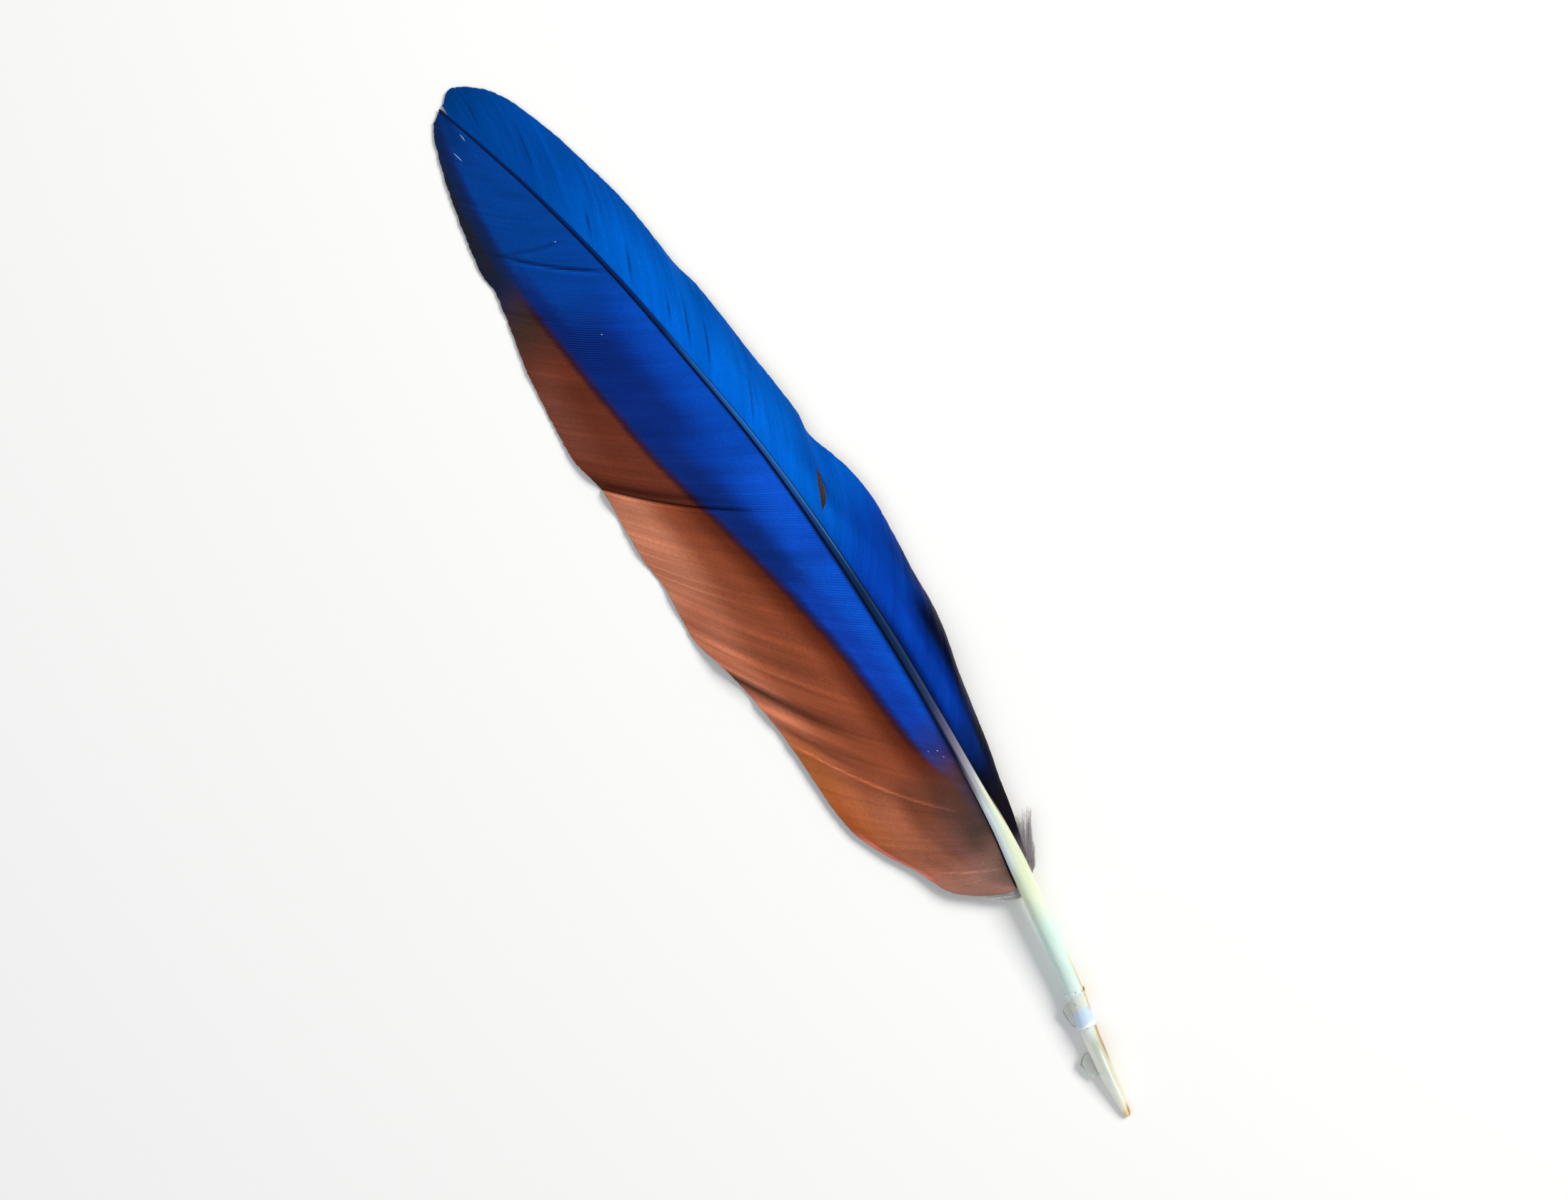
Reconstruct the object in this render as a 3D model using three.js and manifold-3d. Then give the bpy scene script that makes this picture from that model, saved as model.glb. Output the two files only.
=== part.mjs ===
// A flight feather of a macaw, upper side up, lying on a flat surface as it was dropped.
// It grew as one piece: a shaft, bare at the quill, and two vanes of barbs that hold together in locks.
// Millimetres. +Y runs from the quill's end to the tip, +X to the narrow outer vane, +Z up.
import * as THREE from "three";
import { mergeVertices } from "three/addons/utils/BufferGeometryUtils.js";
import Module from "manifold-3d";

const wasm = await Module();
wasm.setup();

// Driving dimensions
const LENGTH = 274.8; // quill's end to the tip of the vane
const WIDTH_MIDDLE = 5.75; // where the middle of the whole width lies, from the quill's end
const LIFT = 0.03; // raises it all so that its lowest point is on the surface
const LOCKS_PER_VANE = 34; // groups of barbs that cling together
const PACKING = 1.25; // over 1, the locks are narrower towards the quill
const GROOVE = 0.2; // how far the surface dips between two locks, and stands up along each
const GROOVE_WITHIN = 7; // the grooves reach their depth this far from the shaft
const LOCK_TIP = 0.35; // how far a lock's end stands past the vane's edge, and the grooves behind it
const VANE_AT_SHAFT = 0.8; // thickness of the vane where the barbs leave the shaft
const VANE_AT_EDGE = 0.4; // and at their tips
const SEAT = 0.12; // height of the barbs' roots above the shaft's middle, as a share of its depth
const ROOTED = 0.2; // how far past the shaft's middle each vane reaches into the other
const SHAFT_SIDES = 14;

// The shaft at places along the feather: [along, across, height of its middle, width, depth]
const SHAFT = [
  [0, 0.4, 0.67, 1.4, 1.3],
  [3, 0.8, 1.1, 2.1, 2.0],
  [12, 2.1, 2.0, 3.6, 3.5],
  [22, 4.1, 2.7, 3.9, 4.0],
  [30, 6.1, 3.2, 4.1, 4.1],
  [40, 8.0, 3.8, 4.3, 4.2],
  [60, 11.5, 5.0, 4.3, 4.1],
  [70, 13.0, 5.6, 3.5, 3.9],
  [82, 14.2, 6.2, 2.7, 3.5],
  [100, 15.7, 7.1, 2.4, 3.1],
  [120, 16.9, 7.7, 2.3, 2.7],
  [145, 17.4, 7.9, 1.9, 2.3],
  [170, 16.8, 7.4, 1.5, 1.9],
  [195, 14.5, 6.3, 1.25, 1.5],
  [220, 11.6, 4.6, 1.0, 1.2],
  [245, 7.1, 2.6, 0.75, 0.9],
  [262, 3.0, 1.3, 0.6, 0.75],
  [270.5, 0.7, 0.75, 0.5, 0.6],
];
const SHEATH_RINGS = { at: [22.3, 30.2], swell: 0.14, half: 1.2 }; // where the torn sheath ends in a low ring
const SHAFT_GROOVE = { deep: 0.3, half: 0.35, from: 66, to: 215, fade: 22 }; // along the shaft's underside
const SQUARED = 0.75; // power that squares the round quill's section into the rachis
const SHAFT_STATIONS = 46;

// Each vane's edge: [place of a barb's root along the shaft, its tip across, its tip along, its tip's height]
const INNER_EDGE = [
  [56.5, 6.0, 56.8, 4.2],
  [57.6, 0.5, 59.8, 3.4],
  [59.3, -4.6, 64.4, 2.7],
  [61.5, -7.6, 71.5, 2.1],
  [64.5, -11.6, 79.2, 1.7],
  [68, -14.6, 87, 1.5],
  [72, -15.3, 97, 1.4],
  [77, -15.1, 110, 1.4],
  [84, -16.0, 122.5, 1.4],
  [91, -17.6, 133, 1.4],
  [98, -19.5, 141.5, 1.2],
  [104, -19.3, 147.5, 0.9],
  [113, -18.5, 154.5, 0.7],
  [126, -18.8, 163.5, 0.7],
  [140, -18.3, 173, 0.8],
  [152, -17.8, 182, 1.2],
  [165, -19.2, 191.5, 0.8],
  [180, -17.9, 204, 0.6],
  [195, -15.5, 217.5, 0.6],
  [211, -12.4, 231.5, 0.6],
  [216, -12.8, 236, 0.6],
  [228, -10.9, 245.5, 0.6],
  [240, -8.3, 255.5, 0.6],
  [250, -5.7, 264, 0.6],
  [258, -3.0, 269.6, 0.6],
  [268, 0.4, 272.3, 0.6],
];
const OUTER_EDGE = [
  [60, 14.6, 62, 5.0],
  [62.5, 17.2, 70.5, 4.2],
  [68, 19.2, 78.5, 3.4],
  [75, 21.5, 87, 2.2],
  [84, 24.6, 101, 0.8],
  [92, 27.6, 112, 0.45],
  [100, 28.9, 119.5, 0.45],
  [108, 29.5, 128, 1.3],
  [118, 30.7, 139.5, 2.3],
  [125, 31.2, 146, 2.6],
  [132, 30.5, 154.5, 2.6],
  [142.5, 27.5, 166, 2.4],
  [148, 28.1, 171.5, 2.3],
  [160, 27.3, 183.5, 2.1],
  [184, 25.6, 207.5, 1.5],
  [190, 24.3, 214.5, 1.4],
  [206, 22.9, 231.5, 1.0],
  [217, 20.8, 242.5, 0.8],
  [228, 18.0, 254.5, 0.7],
  [238, 14.4, 265, 0.6],
  [247, 10.8, 270.8, 0.6],
  [261.5, 4.6, 274.8, 0.6],
  [269, 1.4, 272.6, 0.6],
];
// A barb bends towards the tip: its bend's place, as shares of its reach across and along the shaft
const INNER_BEND = [0.6, 0.42];
const OUTER_BEND = [0.79, 0.53];
// How late the vane turns down towards its edge, at roots along the shaft. The outer one curls near the base.
const INNER_DROOP = [[56, 1.5], [270, 1.7]];
const OUTER_DROOP = [[60, 1.4], [78, 2.0], [90, 3.4], [100, 3.4], [112, 1.8], [130, 1.4], [270, 1.3]];
// Waves in the inner vane, along its barbs: [root, half width, height]
const INNER_WAVES = [
  [78.6, 2.0, -0.45], [82.6, 2.0, 0.4], [86.6, 2.2, -0.75], [92.5, 3.0, 0.8], [101, 4, -0.4], [110, 3, 0.35],
  [122, 4, -0.3], [132, 4, 0.3], [142, 4, -0.3], [148, 3.4, 0.45], [152.8, 2.2, -0.6], [159, 3.5, 0.3],
  [214, 3, -0.2],
];
const OUTER_WAVES = [[125, 6, 0.3], [143, 4, -0.35], [154, 5, 0.3], [189, 3.5, -0.25]];
// The gap where two locks of the outer vane have come apart: root, widest place along the barb, half widths
const SLIT = { root: 145.8, place: 0.42, reach: 0.21, half: 0.8, spread: 5, overlap: 0.08 };

// Small locks of down at the foot of the vanes, and flakes of sheath on the quill: a line of points, a width
const DOWN = [
  { line: [[13.2, 58.5, 4.6], [15.8, 62, 4.2], [18.6, 65.6, 3.2], [21.3, 70.2, 2.4]], width: 1.5 },
  { line: [[13.4, 61, 4.8], [15.2, 64.5, 4.6], [16.6, 67, 4.0], [17.3, 69.4, 3.4]], width: 1.3 },
  { line: [[13.2, 57.2, 4.2], [14.6, 58.4, 3.6], [16.4, 60.4, 2.8], [18.4, 64.2, 2.0]], width: 1.5 },
  { line: [[9.8, 54.6, 4.0], [7.2, 54.8, 3.6], [4.6, 56.2, 3.0], [2.2, 58.1, 2.6]], width: 1.7 },
  { line: [[9.8, 56.2, 4.2], [6.8, 56.8, 3.9], [3.8, 58.0, 3.3], [0.4, 58.8, 2.7]], width: 1.3 },
];
const FLAKES = [
  { line: [[4.4, 29.6, 3.6], [2.9, 28.0, 3.2], [2.4, 25.6, 2.8], [2.6, 23.2, 2.6]], width: 2.0 },
  { line: [[2.0, 17.4, 2.6], [0.1, 16.6, 2.6], [-0.7, 14.4, 2.0], [0.4, 11.6, 1.6]], width: 2.0 },
];
const BLADE = { sides: 6, thick: 0.35, steps: 7, point: 0.18 };

// A smooth line through points, each [place, value], read at any place
function profile(points) {
  const last = points.length - 1;
  const slopes = points.map((_, i) => {
    const [a, b] = [points[Math.max(i - 1, 0)], points[Math.min(i + 1, last)]];
    return (b[1] - a[1]) / (b[0] - a[0]);
  });
  return (place) => {
    const after = points.findIndex((p) => p[0] > place);
    const i = after < 0 ? last - 1 : Math.max(after - 1, 0);
    const [[x0, y0], [x1, y1]] = [points[i], points[i + 1]];
    const span = x1 - x0;
    const t = THREE.MathUtils.clamp((place - x0) / span, 0, 1);
    const [t2, t3] = [t * t, t * t * t];
    return (
      (2 * t3 - 3 * t2 + 1) * y0 + (t3 - 2 * t2 + t) * span * slopes[i] +
      (3 * t2 - 2 * t3) * y1 + (t3 - t2) * span * slopes[i + 1]
    );
  };
}

// One profile for each column of a table whose first column is the place
const columns = (table) => table[0].slice(1).map((_, c) => profile(table.map((row) => [row[0], row[c + 1]])));

const [shaftAcross, shaftHeight, shaftWidth, shaftDepth] = columns(SHAFT);
const bell = (x, half) => Math.exp(-((x / half) ** 2));

// The shaft's middle at a place along the feather, its direction and the direction to its right, both level
function shaftAt(along) {
  const step = 0.5;
  const slope = (shaftAcross(along + step) - shaftAcross(along - step)) / (2 * step);
  const forward = new THREE.Vector2(slope, 1).normalize();
  return {
    point: new THREE.Vector3(shaftAcross(along), along, shaftHeight(along)),
    forward,
    right: new THREE.Vector2(forward.y, -forward.x),
  };
}

// A closed skin over rings of points, all with the same even number of them. Each end is closed by joining
// the ring's first half to its second. A left-handed row of rings has its faces turned.
function skin(rings, turned = false) {
  const n = rings[0].length;
  const faces = [];
  for (let r = 0; r + 1 < rings.length; r++)
    for (let i = 0; i < n; i++) {
      const [a, b] = [r * n + i, r * n + ((i + 1) % n)];
      faces.push([a, b + n, b], [a, a + n, b + n]);
    }
  const lastRing = (rings.length - 1) * n;
  for (let i = 0; i + 1 < n / 2; i++) {
    const [a, b, c, d] = [i, i + 1, n - 2 - i, n - 1 - i];
    faces.push([a, b, c], [a, c, d]);
    faces.push([a, c, b].map((k) => k + lastRing), [a, d, c].map((k) => k + lastRing));
  }
  const index = faces.flatMap(([a, b, c]) => (turned ? [a, c, b] : [a, b, c]));
  const positions = rings.flat().flatMap((p) => [p.x, p.y, p.z]);
  return new THREE.BufferGeometry()
    .setAttribute("position", new THREE.Float32BufferAttribute(positions, 3))
    .setIndex(index);
}

function solidOf(geometry) {
  const merged = mergeVertices(geometry, 1e-4);
  return new wasm.Manifold(
    new wasm.Mesh({
      numProp: 3,
      vertProperties: merged.attributes.position.array,
      triVerts: new Uint32Array(merged.index.array),
    }),
  );
}

// The shaft: a round quill that turns into a squarer rachis with a groove below
function shaftSkin() {
  const rings = [];
  const end = SHAFT.at(-1)[0];
  const { deep, half, from, to, fade } = SHAFT_GROOVE;
  const { at, swell, half: ringHalf } = SHEATH_RINGS;
  for (let s = 0; s <= SHAFT_STATIONS; s++) {
    const along = (end * s) / SHAFT_STATIONS;
    const { point, right } = shaftAt(along);
    const ring = at.reduce((sum, place) => sum + swell * bell(along - place, ringHalf), 1);
    const begun = THREE.MathUtils.smoothstep(along, from, from + fade);
    const groove = deep * begun * (1 - THREE.MathUtils.smoothstep(along, to - fade, to));
    const square = THREE.MathUtils.lerp(1, SQUARED, begun);
    rings.push(
      Array.from({ length: SHAFT_SIDES }, (_, i) => {
        const angle = ((i + 0.5) / SHAFT_SIDES) * 2 * Math.PI;
        const [c, d] = [Math.cos(angle), Math.sin(angle)];
        const across = 0.5 * shaftWidth(along) * ring * Math.sign(c) * Math.abs(c) ** square;
        const lift = d < 0 ? groove * bell(c, half) : 0;
        const up = 0.5 * shaftDepth(along) * ring * (Math.sign(d) * Math.abs(d) ** square + lift);
        return new THREE.Vector3(point.x + right.x * across, point.y + right.y * across, point.z + up);
      }),
    );
  }
  return skin(rings);
}

// One vane's shape: where a barb that leaves the shaft at root has got to at share v of its way to the edge
function vane(edge, bend, droop, waves) {
  const [tipAcross, tipAlong, tipHeight] = columns(edge);
  const turnsDown = profile(droop);
  return (root, v, past = 0) => {
    const { point, forward, right } = shaftAt(root);
    const reach = new THREE.Vector2(tipAcross(root) - point.x, tipAlong(root) - point.y);
    const [wide, ahead] = [reach.dot(right), reach.dot(forward)];
    const share = 1 + past / reach.length();
    const across = wide * share * (2 * v * (1 - v) * bend[0] + v * v) - Math.sign(wide) * ROOTED * (1 - v);
    const along = ahead * share * (2 * v * (1 - v) * bend[1] + v * v);
    const seat = point.z + SEAT * shaftDepth(root);
    const loose = THREE.MathUtils.smoothstep(v, 0.15, 0.85);
    const wave = waves.reduce((sum, [place, half, height]) => sum + height * bell(root - place, half), 0);
    return new THREE.Vector3(
      point.x + right.x * across + forward.x * along,
      point.y + right.y * across + forward.y * along,
      seat + (tipHeight(root) - seat) * v ** turnsDown(root) + wave * loose,
    );
  };
}

const innerVane = vane(INNER_EDGE, INNER_BEND, INNER_DROOP, INNER_WAVES);
const outerVane = vane(OUTER_EDGE, OUTER_BEND, OUTER_DROOP, OUTER_WAVES);
const INNER_STEPS = [0, 0.12, 0.26, 0.4, 0.54, 0.67, 0.79, 0.9, 1];
const OUTER_STEPS = [0, 0.15, 0.3, 0.45, 0.6, 0.75, 0.88, 1];

// A barb line of the outer vane bends aside where the locks on either side of the slit have come apart
function besideSlit(root, v, side) {
  const open = SLIT.half * bell(v - SLIT.place, SLIT.reach) * bell(root - SLIT.root, SLIT.spread);
  return side * (open - SLIT.overlap);
}

// A stretch of vane between two roots: rows along grooves and along the locks' backs in turn
function vaneSkin(shape, from, to, locks, steps, turned, { packing = 1, slitSide = 0 }) {
  const rings = [];
  for (let row = 0; row <= 2 * locks; row++) {
    const root = from + (to - from) * (row / (2 * locks)) ** packing;
    const back = row % 2 ? 1 : -1;
    const { point, forward } = shaftAt(root);
    const line = steps.map((v) => {
      const p = shape(root, v, v === 1 ? back * LOCK_TIP : 0);
      p.z += back * GROOVE * Math.min(1, p.distanceTo(point) / GROOVE_WITHIN);
      const aside = slitSide ? besideSlit(root, v, slitSide) : 0;
      return { p: p.add(new THREE.Vector3(forward.x * aside, forward.y * aside, 0)), v };
    });
    const half = (v) => THREE.MathUtils.lerp(VANE_AT_SHAFT, VANE_AT_EDGE, v) / 2;
    const top = line.map(({ p, v }) => p.clone().setZ(p.z + half(v)));
    const under = line.map(({ p, v }) => p.clone().setZ(p.z - half(v))).reverse();
    rings.push([...top, ...under]);
  }
  return skin(rings, turned);
}

// A flat tapering blade along a line of points, for a lock of down or a flake of sheath
function bladeSkin({ line, width }) {
  const curve = new THREE.CatmullRomCurve3(line.map((p) => new THREE.Vector3(...p)));
  const rings = [];
  for (let s = 0; s <= BLADE.steps; s++) {
    const t = s / BLADE.steps;
    const ahead = curve.getTangent(t);
    const side = new THREE.Vector3(ahead.y, -ahead.x, 0).normalize();
    const up = new THREE.Vector3().crossVectors(side, ahead).normalize();
    const wide = (width / 2) * THREE.MathUtils.lerp(1, BLADE.point, t ** 1.5);
    const middle = curve.getPoint(t);
    rings.push(
      Array.from({ length: BLADE.sides }, (_, i) => {
        const angle = ((i + 0.5) / BLADE.sides) * 2 * Math.PI;
        return middle
          .clone()
          .addScaledVector(side, Math.cos(angle) * wide)
          .addScaledVector(up, (Math.sin(angle) * BLADE.thick) / 2);
      }),
    );
  }
  return skin(rings);
}

// All of it is fused, as it grew
function featherGeometry() {
  const innerEnds = [INNER_EDGE[0][0], INNER_EDGE.at(-1)[0]];
  const [foot, end] = [OUTER_EDGE[0][0], OUTER_EDGE.at(-1)[0]];
  const below = Math.round((LOCKS_PER_VANE * (SLIT.root - foot)) / (end - foot));
  const above = LOCKS_PER_VANE - below;
  const pieces = [
    shaftSkin(),
    vaneSkin(innerVane, ...innerEnds, LOCKS_PER_VANE, INNER_STEPS, false, { packing: PACKING }),
    vaneSkin(outerVane, foot, SLIT.root, below, OUTER_STEPS, true, { packing: PACKING, slitSide: -1 }),
    vaneSkin(outerVane, SLIT.root, end, above, OUTER_STEPS, true, { slitSide: 1 }),
    ...DOWN.map(bladeSkin),
    ...FLAKES.map(bladeSkin),
  ];
  const made = pieces.map(solidOf).reduce((whole, piece) => whole.add(piece)).getMesh();
  return new THREE.BufferGeometry()
    .setAttribute("position", new THREE.BufferAttribute(made.vertProperties, 3))
    .setIndex(new THREE.BufferAttribute(made.triVerts, 1));
}

const keratin = new THREE.MeshStandardMaterial({ color: 0x0b46ba, roughness: 0.45, metalness: 0 });
const feather = new THREE.Mesh(featherGeometry(), keratin);
feather.name = "feather";

// The origin is on the surface under the middle of the feather
const part = new THREE.Group();
part.add(feather);
part.position.set(-WIDTH_MIDDLE, -LENGTH / 2, LIFT);

export default part;
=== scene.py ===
# %% [markdown]
# # A macaw's flight feather, barb by barb
# The object is one feather of a macaw's wing, lying upper side up on a pale table. A feather is a shaft
# with two vanes. Each vane is a row of some four hundred barbs, which hook into each other and so act as
# one sheet. It could be made as a flat sheet with lines painted on it, but a sheet has a hard edge and no
# depth in its splits. So this lesson grows it as it grows on the bird: a shaft first, then every barb as
# its own thin closed strip. The solid model of the same feather is loaded as the frame, and everything here
# stays where that solid is.

# %% Load the frame
import math
import bpy
import numpy as np
from mathutils import Matrix, Vector


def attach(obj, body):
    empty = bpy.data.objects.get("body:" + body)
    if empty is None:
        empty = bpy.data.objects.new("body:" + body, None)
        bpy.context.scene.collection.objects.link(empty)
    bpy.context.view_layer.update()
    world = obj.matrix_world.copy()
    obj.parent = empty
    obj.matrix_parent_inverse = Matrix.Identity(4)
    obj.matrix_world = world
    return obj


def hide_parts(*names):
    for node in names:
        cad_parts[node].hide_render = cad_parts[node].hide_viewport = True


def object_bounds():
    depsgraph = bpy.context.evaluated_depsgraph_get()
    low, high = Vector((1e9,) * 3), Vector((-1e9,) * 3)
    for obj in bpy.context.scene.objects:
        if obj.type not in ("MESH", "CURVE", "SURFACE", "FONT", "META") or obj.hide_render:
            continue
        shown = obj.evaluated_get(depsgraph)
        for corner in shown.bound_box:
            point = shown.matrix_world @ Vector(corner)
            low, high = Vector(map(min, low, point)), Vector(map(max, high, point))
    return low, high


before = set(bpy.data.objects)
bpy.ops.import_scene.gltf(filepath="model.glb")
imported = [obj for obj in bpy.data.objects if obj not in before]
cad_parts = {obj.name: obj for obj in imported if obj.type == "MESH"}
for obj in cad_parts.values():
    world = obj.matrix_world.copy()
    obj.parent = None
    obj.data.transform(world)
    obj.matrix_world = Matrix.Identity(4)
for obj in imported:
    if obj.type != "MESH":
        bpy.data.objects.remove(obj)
cad_low, cad_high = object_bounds()
MM = 0.001
cad_size = (cad_high - cad_low) / MM
print("solid feather, mm:", [round(v, 1) for v in cad_size])

# %% [markdown]
# ## Two coordinate systems
# A feather is easiest to describe from its own quill: "along" runs in millimetres from the quill's end to
# the tip, "across" to the right, and the height up from the table. The frame has its origin under the
# feather's middle, in metres. One function goes from the first to the second, and all shapes below are
# written in the feather's own millimetres.

# %% From the feather's millimetres to the frame's metres
LENGTH = 274.8  # from the quill's end to the tip of the vane
WIDTH_MIDDLE = 5.75  # where the middle of the whole width lies
LIFT = 0.03  # keeps the lowest point on the table


def to_frame(points):
    """Points (across, along, height) in the feather's millimetres, as metres in the frame."""
    return (np.asarray(points, float) + (-WIDTH_MIDDLE, -LENGTH / 2, LIFT)) * MM


print("quill's end in the frame, m:", to_frame((0, 0, 0)).round(4))

# %% [markdown]
# ## The camera
# The feather is seen from straight above, with its tip to the upper left. The feather itself stays square
# in the frame, so the camera is what turns about the vertical. A long lens far away keeps the bow of the
# shaft from looking swollen. Its height follows from the lens and from how much of the table the picture
# takes in.

# %% Camera above the feather
IMAGE_WIDTH, IMAGE_HEIGHT = 2196, 1680
LEAN = 34.394  # degrees that the feather leans to the left in the picture
TURN = -math.radians(LEAN)
LENS, SENSOR = 75.0, 36.0  # millimetres of focal length and of sensor width
ROOM = 268.0 * MM  # what the picture's height takes in at the table
LOOKS_AT = (2.0, 138.5, 0)  # in the feather's own millimetres
CLIP_START, CLIP_END = 0.01, 20

camera = bpy.data.objects.new("camera", bpy.data.cameras.new("camera"))
bpy.context.collection.objects.link(camera)
bpy.context.scene.camera = camera
camera.data.lens = LENS
camera.data.sensor_width = SENSOR
view_width = ROOM * IMAGE_WIDTH / IMAGE_HEIGHT
camera.location = Vector(to_frame(LOOKS_AT)) + Vector((0, 0, view_width * LENS / SENSOR))
camera.rotation_euler = (0, 0, TURN)
camera.data.clip_start, camera.data.clip_end = CLIP_START, CLIP_END
print("camera height, m:", round(camera.location.z, 3))

# %% [markdown]
# ## Helpers for colour and for nodes
# Every finish below is a small tree of nodes. In Blender's own words a node takes one line to add, one for
# each setting and one for each link, so a single function does all of that. Colours are written as sRGB hex
# values, as a paint chart gives them, but the sockets take linear numbers: one function turns the first
# into the second, with the constants of the sRGB standard. A third starts a material and opens the numbers
# that its mesh will hold.

# %% Helpers for colour and for nodes


def linear(hex_colour):
    """An sRGB hex colour, as the linear numbers that Blender's sockets take."""
    channels = [int(hex_colour[i:i + 2], 16) / 255 for i in (1, 3, 5)]
    return (*(c / 12.92 if c <= 0.04045 else ((c + 0.055) / 1.055) ** 2.4 for c in channels), 1.0)


def add(tree, kind, inputs=None, **settings):
    """Adds a node. Each input is linked where it is given a socket, and set where it is given a value."""
    made = tree.nodes.new(kind)
    for name, value in settings.items():
        setattr(made, name, value)
    for key, value in (inputs or {}).items():
        if isinstance(value, bpy.types.NodeSocket):
            tree.links.new(value, made.inputs[key])
        else:
            made.inputs[key].default_value = value
    return made


def new_material(name, numbers=()):
    """An empty material, its tree, and sockets that read the numbers of these names from the mesh."""
    material = bpy.data.materials.new(name)
    material.use_nodes = True
    tree = material.node_tree
    tree.nodes.clear()
    return material, tree, {
        key: add(tree, "ShaderNodeAttribute", attribute_name=key).outputs["Fac"] for key in numbers}


print("mid grey in linear numbers:", round(linear("#808080")[0], 3))

# %% [markdown]
# ## The table
# The feather lies on a plain white board of matt coated paper: almost white, at paper's IOR of about 1.5,
# and with a grain so fine that it only takes off the gloss. One large plane is enough, because its edge is
# never seen.

# %% The board
BOARD_WHITE = "#f4f4f3"
BOARD_SIDE = 6.0  # metres
paperboard, tree, _ = new_material("matt_white_paperboard")
surface = add(tree, "ShaderNodeBsdfPrincipled", {
    "Base Color": linear(BOARD_WHITE), "Roughness": 0.85, "IOR": 1.5})
add(tree, "ShaderNodeOutputMaterial", {"Surface": surface.outputs[0]})
bpy.ops.mesh.primitive_plane_add(size=BOARD_SIDE, location=(0, 0, 0))
board = bpy.context.object
board.name = "board"
board.data.materials.append(paperboard)
print("board side, m:", BOARD_SIDE)

# %% [markdown]
# ## The light
# It is soft studio light. A small lamp alone would give hard shadows, and a bright world alone would give
# none. So there is a large square lamp to the upper right of the picture, a weak one across from it, and a
# pale world to fill. They leave a soft shadow under the edges and show the folds in the vane. The colours
# of the finishes are matched to the real thing, so the picture is shown by the plain sRGB curve, which
# changes them least.

# %% Lamps
WORLD_COLOUR, WORLD_STRENGTH = "#f6f8fb", 0.38
world = bpy.data.worlds.new("studio")
bpy.context.scene.world = world
world.use_nodes = True
background = world.node_tree.nodes["Background"]
background.inputs["Color"].default_value = linear(WORLD_COLOUR)
background.inputs["Strength"].default_value = WORLD_STRENGTH
bpy.context.scene.view_settings.view_transform = "Standard"


def area_lamp(name, toward, distance, side, watts, colour):
    """A square lamp that shines on the feather's middle. toward is where it hangs: right, up and out of
    the picture. distance and side are in metres."""
    data = bpy.data.lights.new(name, "AREA")
    data.shape, data.size, data.energy, data.color = "SQUARE", side, watts, linear(colour)[:3]
    lamp = bpy.data.objects.new(name, data)
    bpy.context.collection.objects.link(lamp)
    direction = Matrix.Rotation(TURN, 3, "Z") @ Vector(toward)
    lamp.location = direction.normalized() * distance
    lamp.rotation_euler = direction.to_track_quat("Z", "Y").to_euler()
    return lamp


key = area_lamp("key_lamp", (0.75, 0.55, 0.85), 1.3, 0.6, 16.0, "#fffdf8")
fill = area_lamp("fill_lamp", (-0.6, -0.3, 1.2), 1.5, 1.2, 5.0, "#f4f8ff")
print("lamps:", key.name, fill.name)

# %% [markdown]
# ## Smooth lines through few points
# The shaft and the edge of each vane are long smooth curves. A spline object would do, but plain functions
# can be read at any place, and the barbs ask for thousands of places. So each measure is a list of (place,
# value) pairs with a smooth line through them, a cubic between each two. Two more curves come up again and
# again: a smooth step, for what sets in gradually, and a bell, for what is high in one place and fades to
# both sides.

# %% Smooth profiles


def profile(points):
    """A smooth line through (place, value) pairs, as a function that reads it at any places."""
    places, values = np.array(points, float).T
    slopes = np.empty_like(values)
    slopes[1:-1] = (values[2:] - values[:-2]) / (places[2:] - places[:-2])
    slopes[0] = (values[1] - values[0]) / (places[1] - places[0])
    slopes[-1] = (values[-1] - values[-2]) / (places[-1] - places[-2])

    def read(place):
        place = np.asarray(place, float)
        i = np.clip(np.searchsorted(places, place, side="right") - 1, 0, len(places) - 2)
        span = places[i + 1] - places[i]
        t = np.clip((place - places[i]) / span, 0, 1)
        by_values = (2 * t**3 - 3 * t**2 + 1) * values[i] + (3 * t**2 - 2 * t**3) * values[i + 1]
        by_slopes = (t**3 - 2 * t**2 + t) * slopes[i] + (t**3 - t**2) * slopes[i + 1]
        return by_values + by_slopes * span

    return read


def columns(table):
    """One profile for each column of a table whose first column is the place."""
    return [profile([(row[0], row[c]) for row in table]) for c in range(1, len(table[0]))]


def smoothstep(x, start, end):
    """0 before start, 1 after end, smooth between."""
    t = np.clip((x - start) / (end - start), 0, 1)
    return t * t * (3 - 2 * t)


def bell(x, half):
    """A bell curve of height 1."""
    return np.exp(-((x / half) ** 2))


print("halfway up a smooth step:", smoothstep(5.0, 0, 10))

# %% [markdown]
# ## The shaft's course
# The shaft is bowed twice: to the right as seen from above, and up off the table. The quill is round and
# bare. Above it the shaft narrows, and there it is called the rachis, with a groove along its underside.

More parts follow.
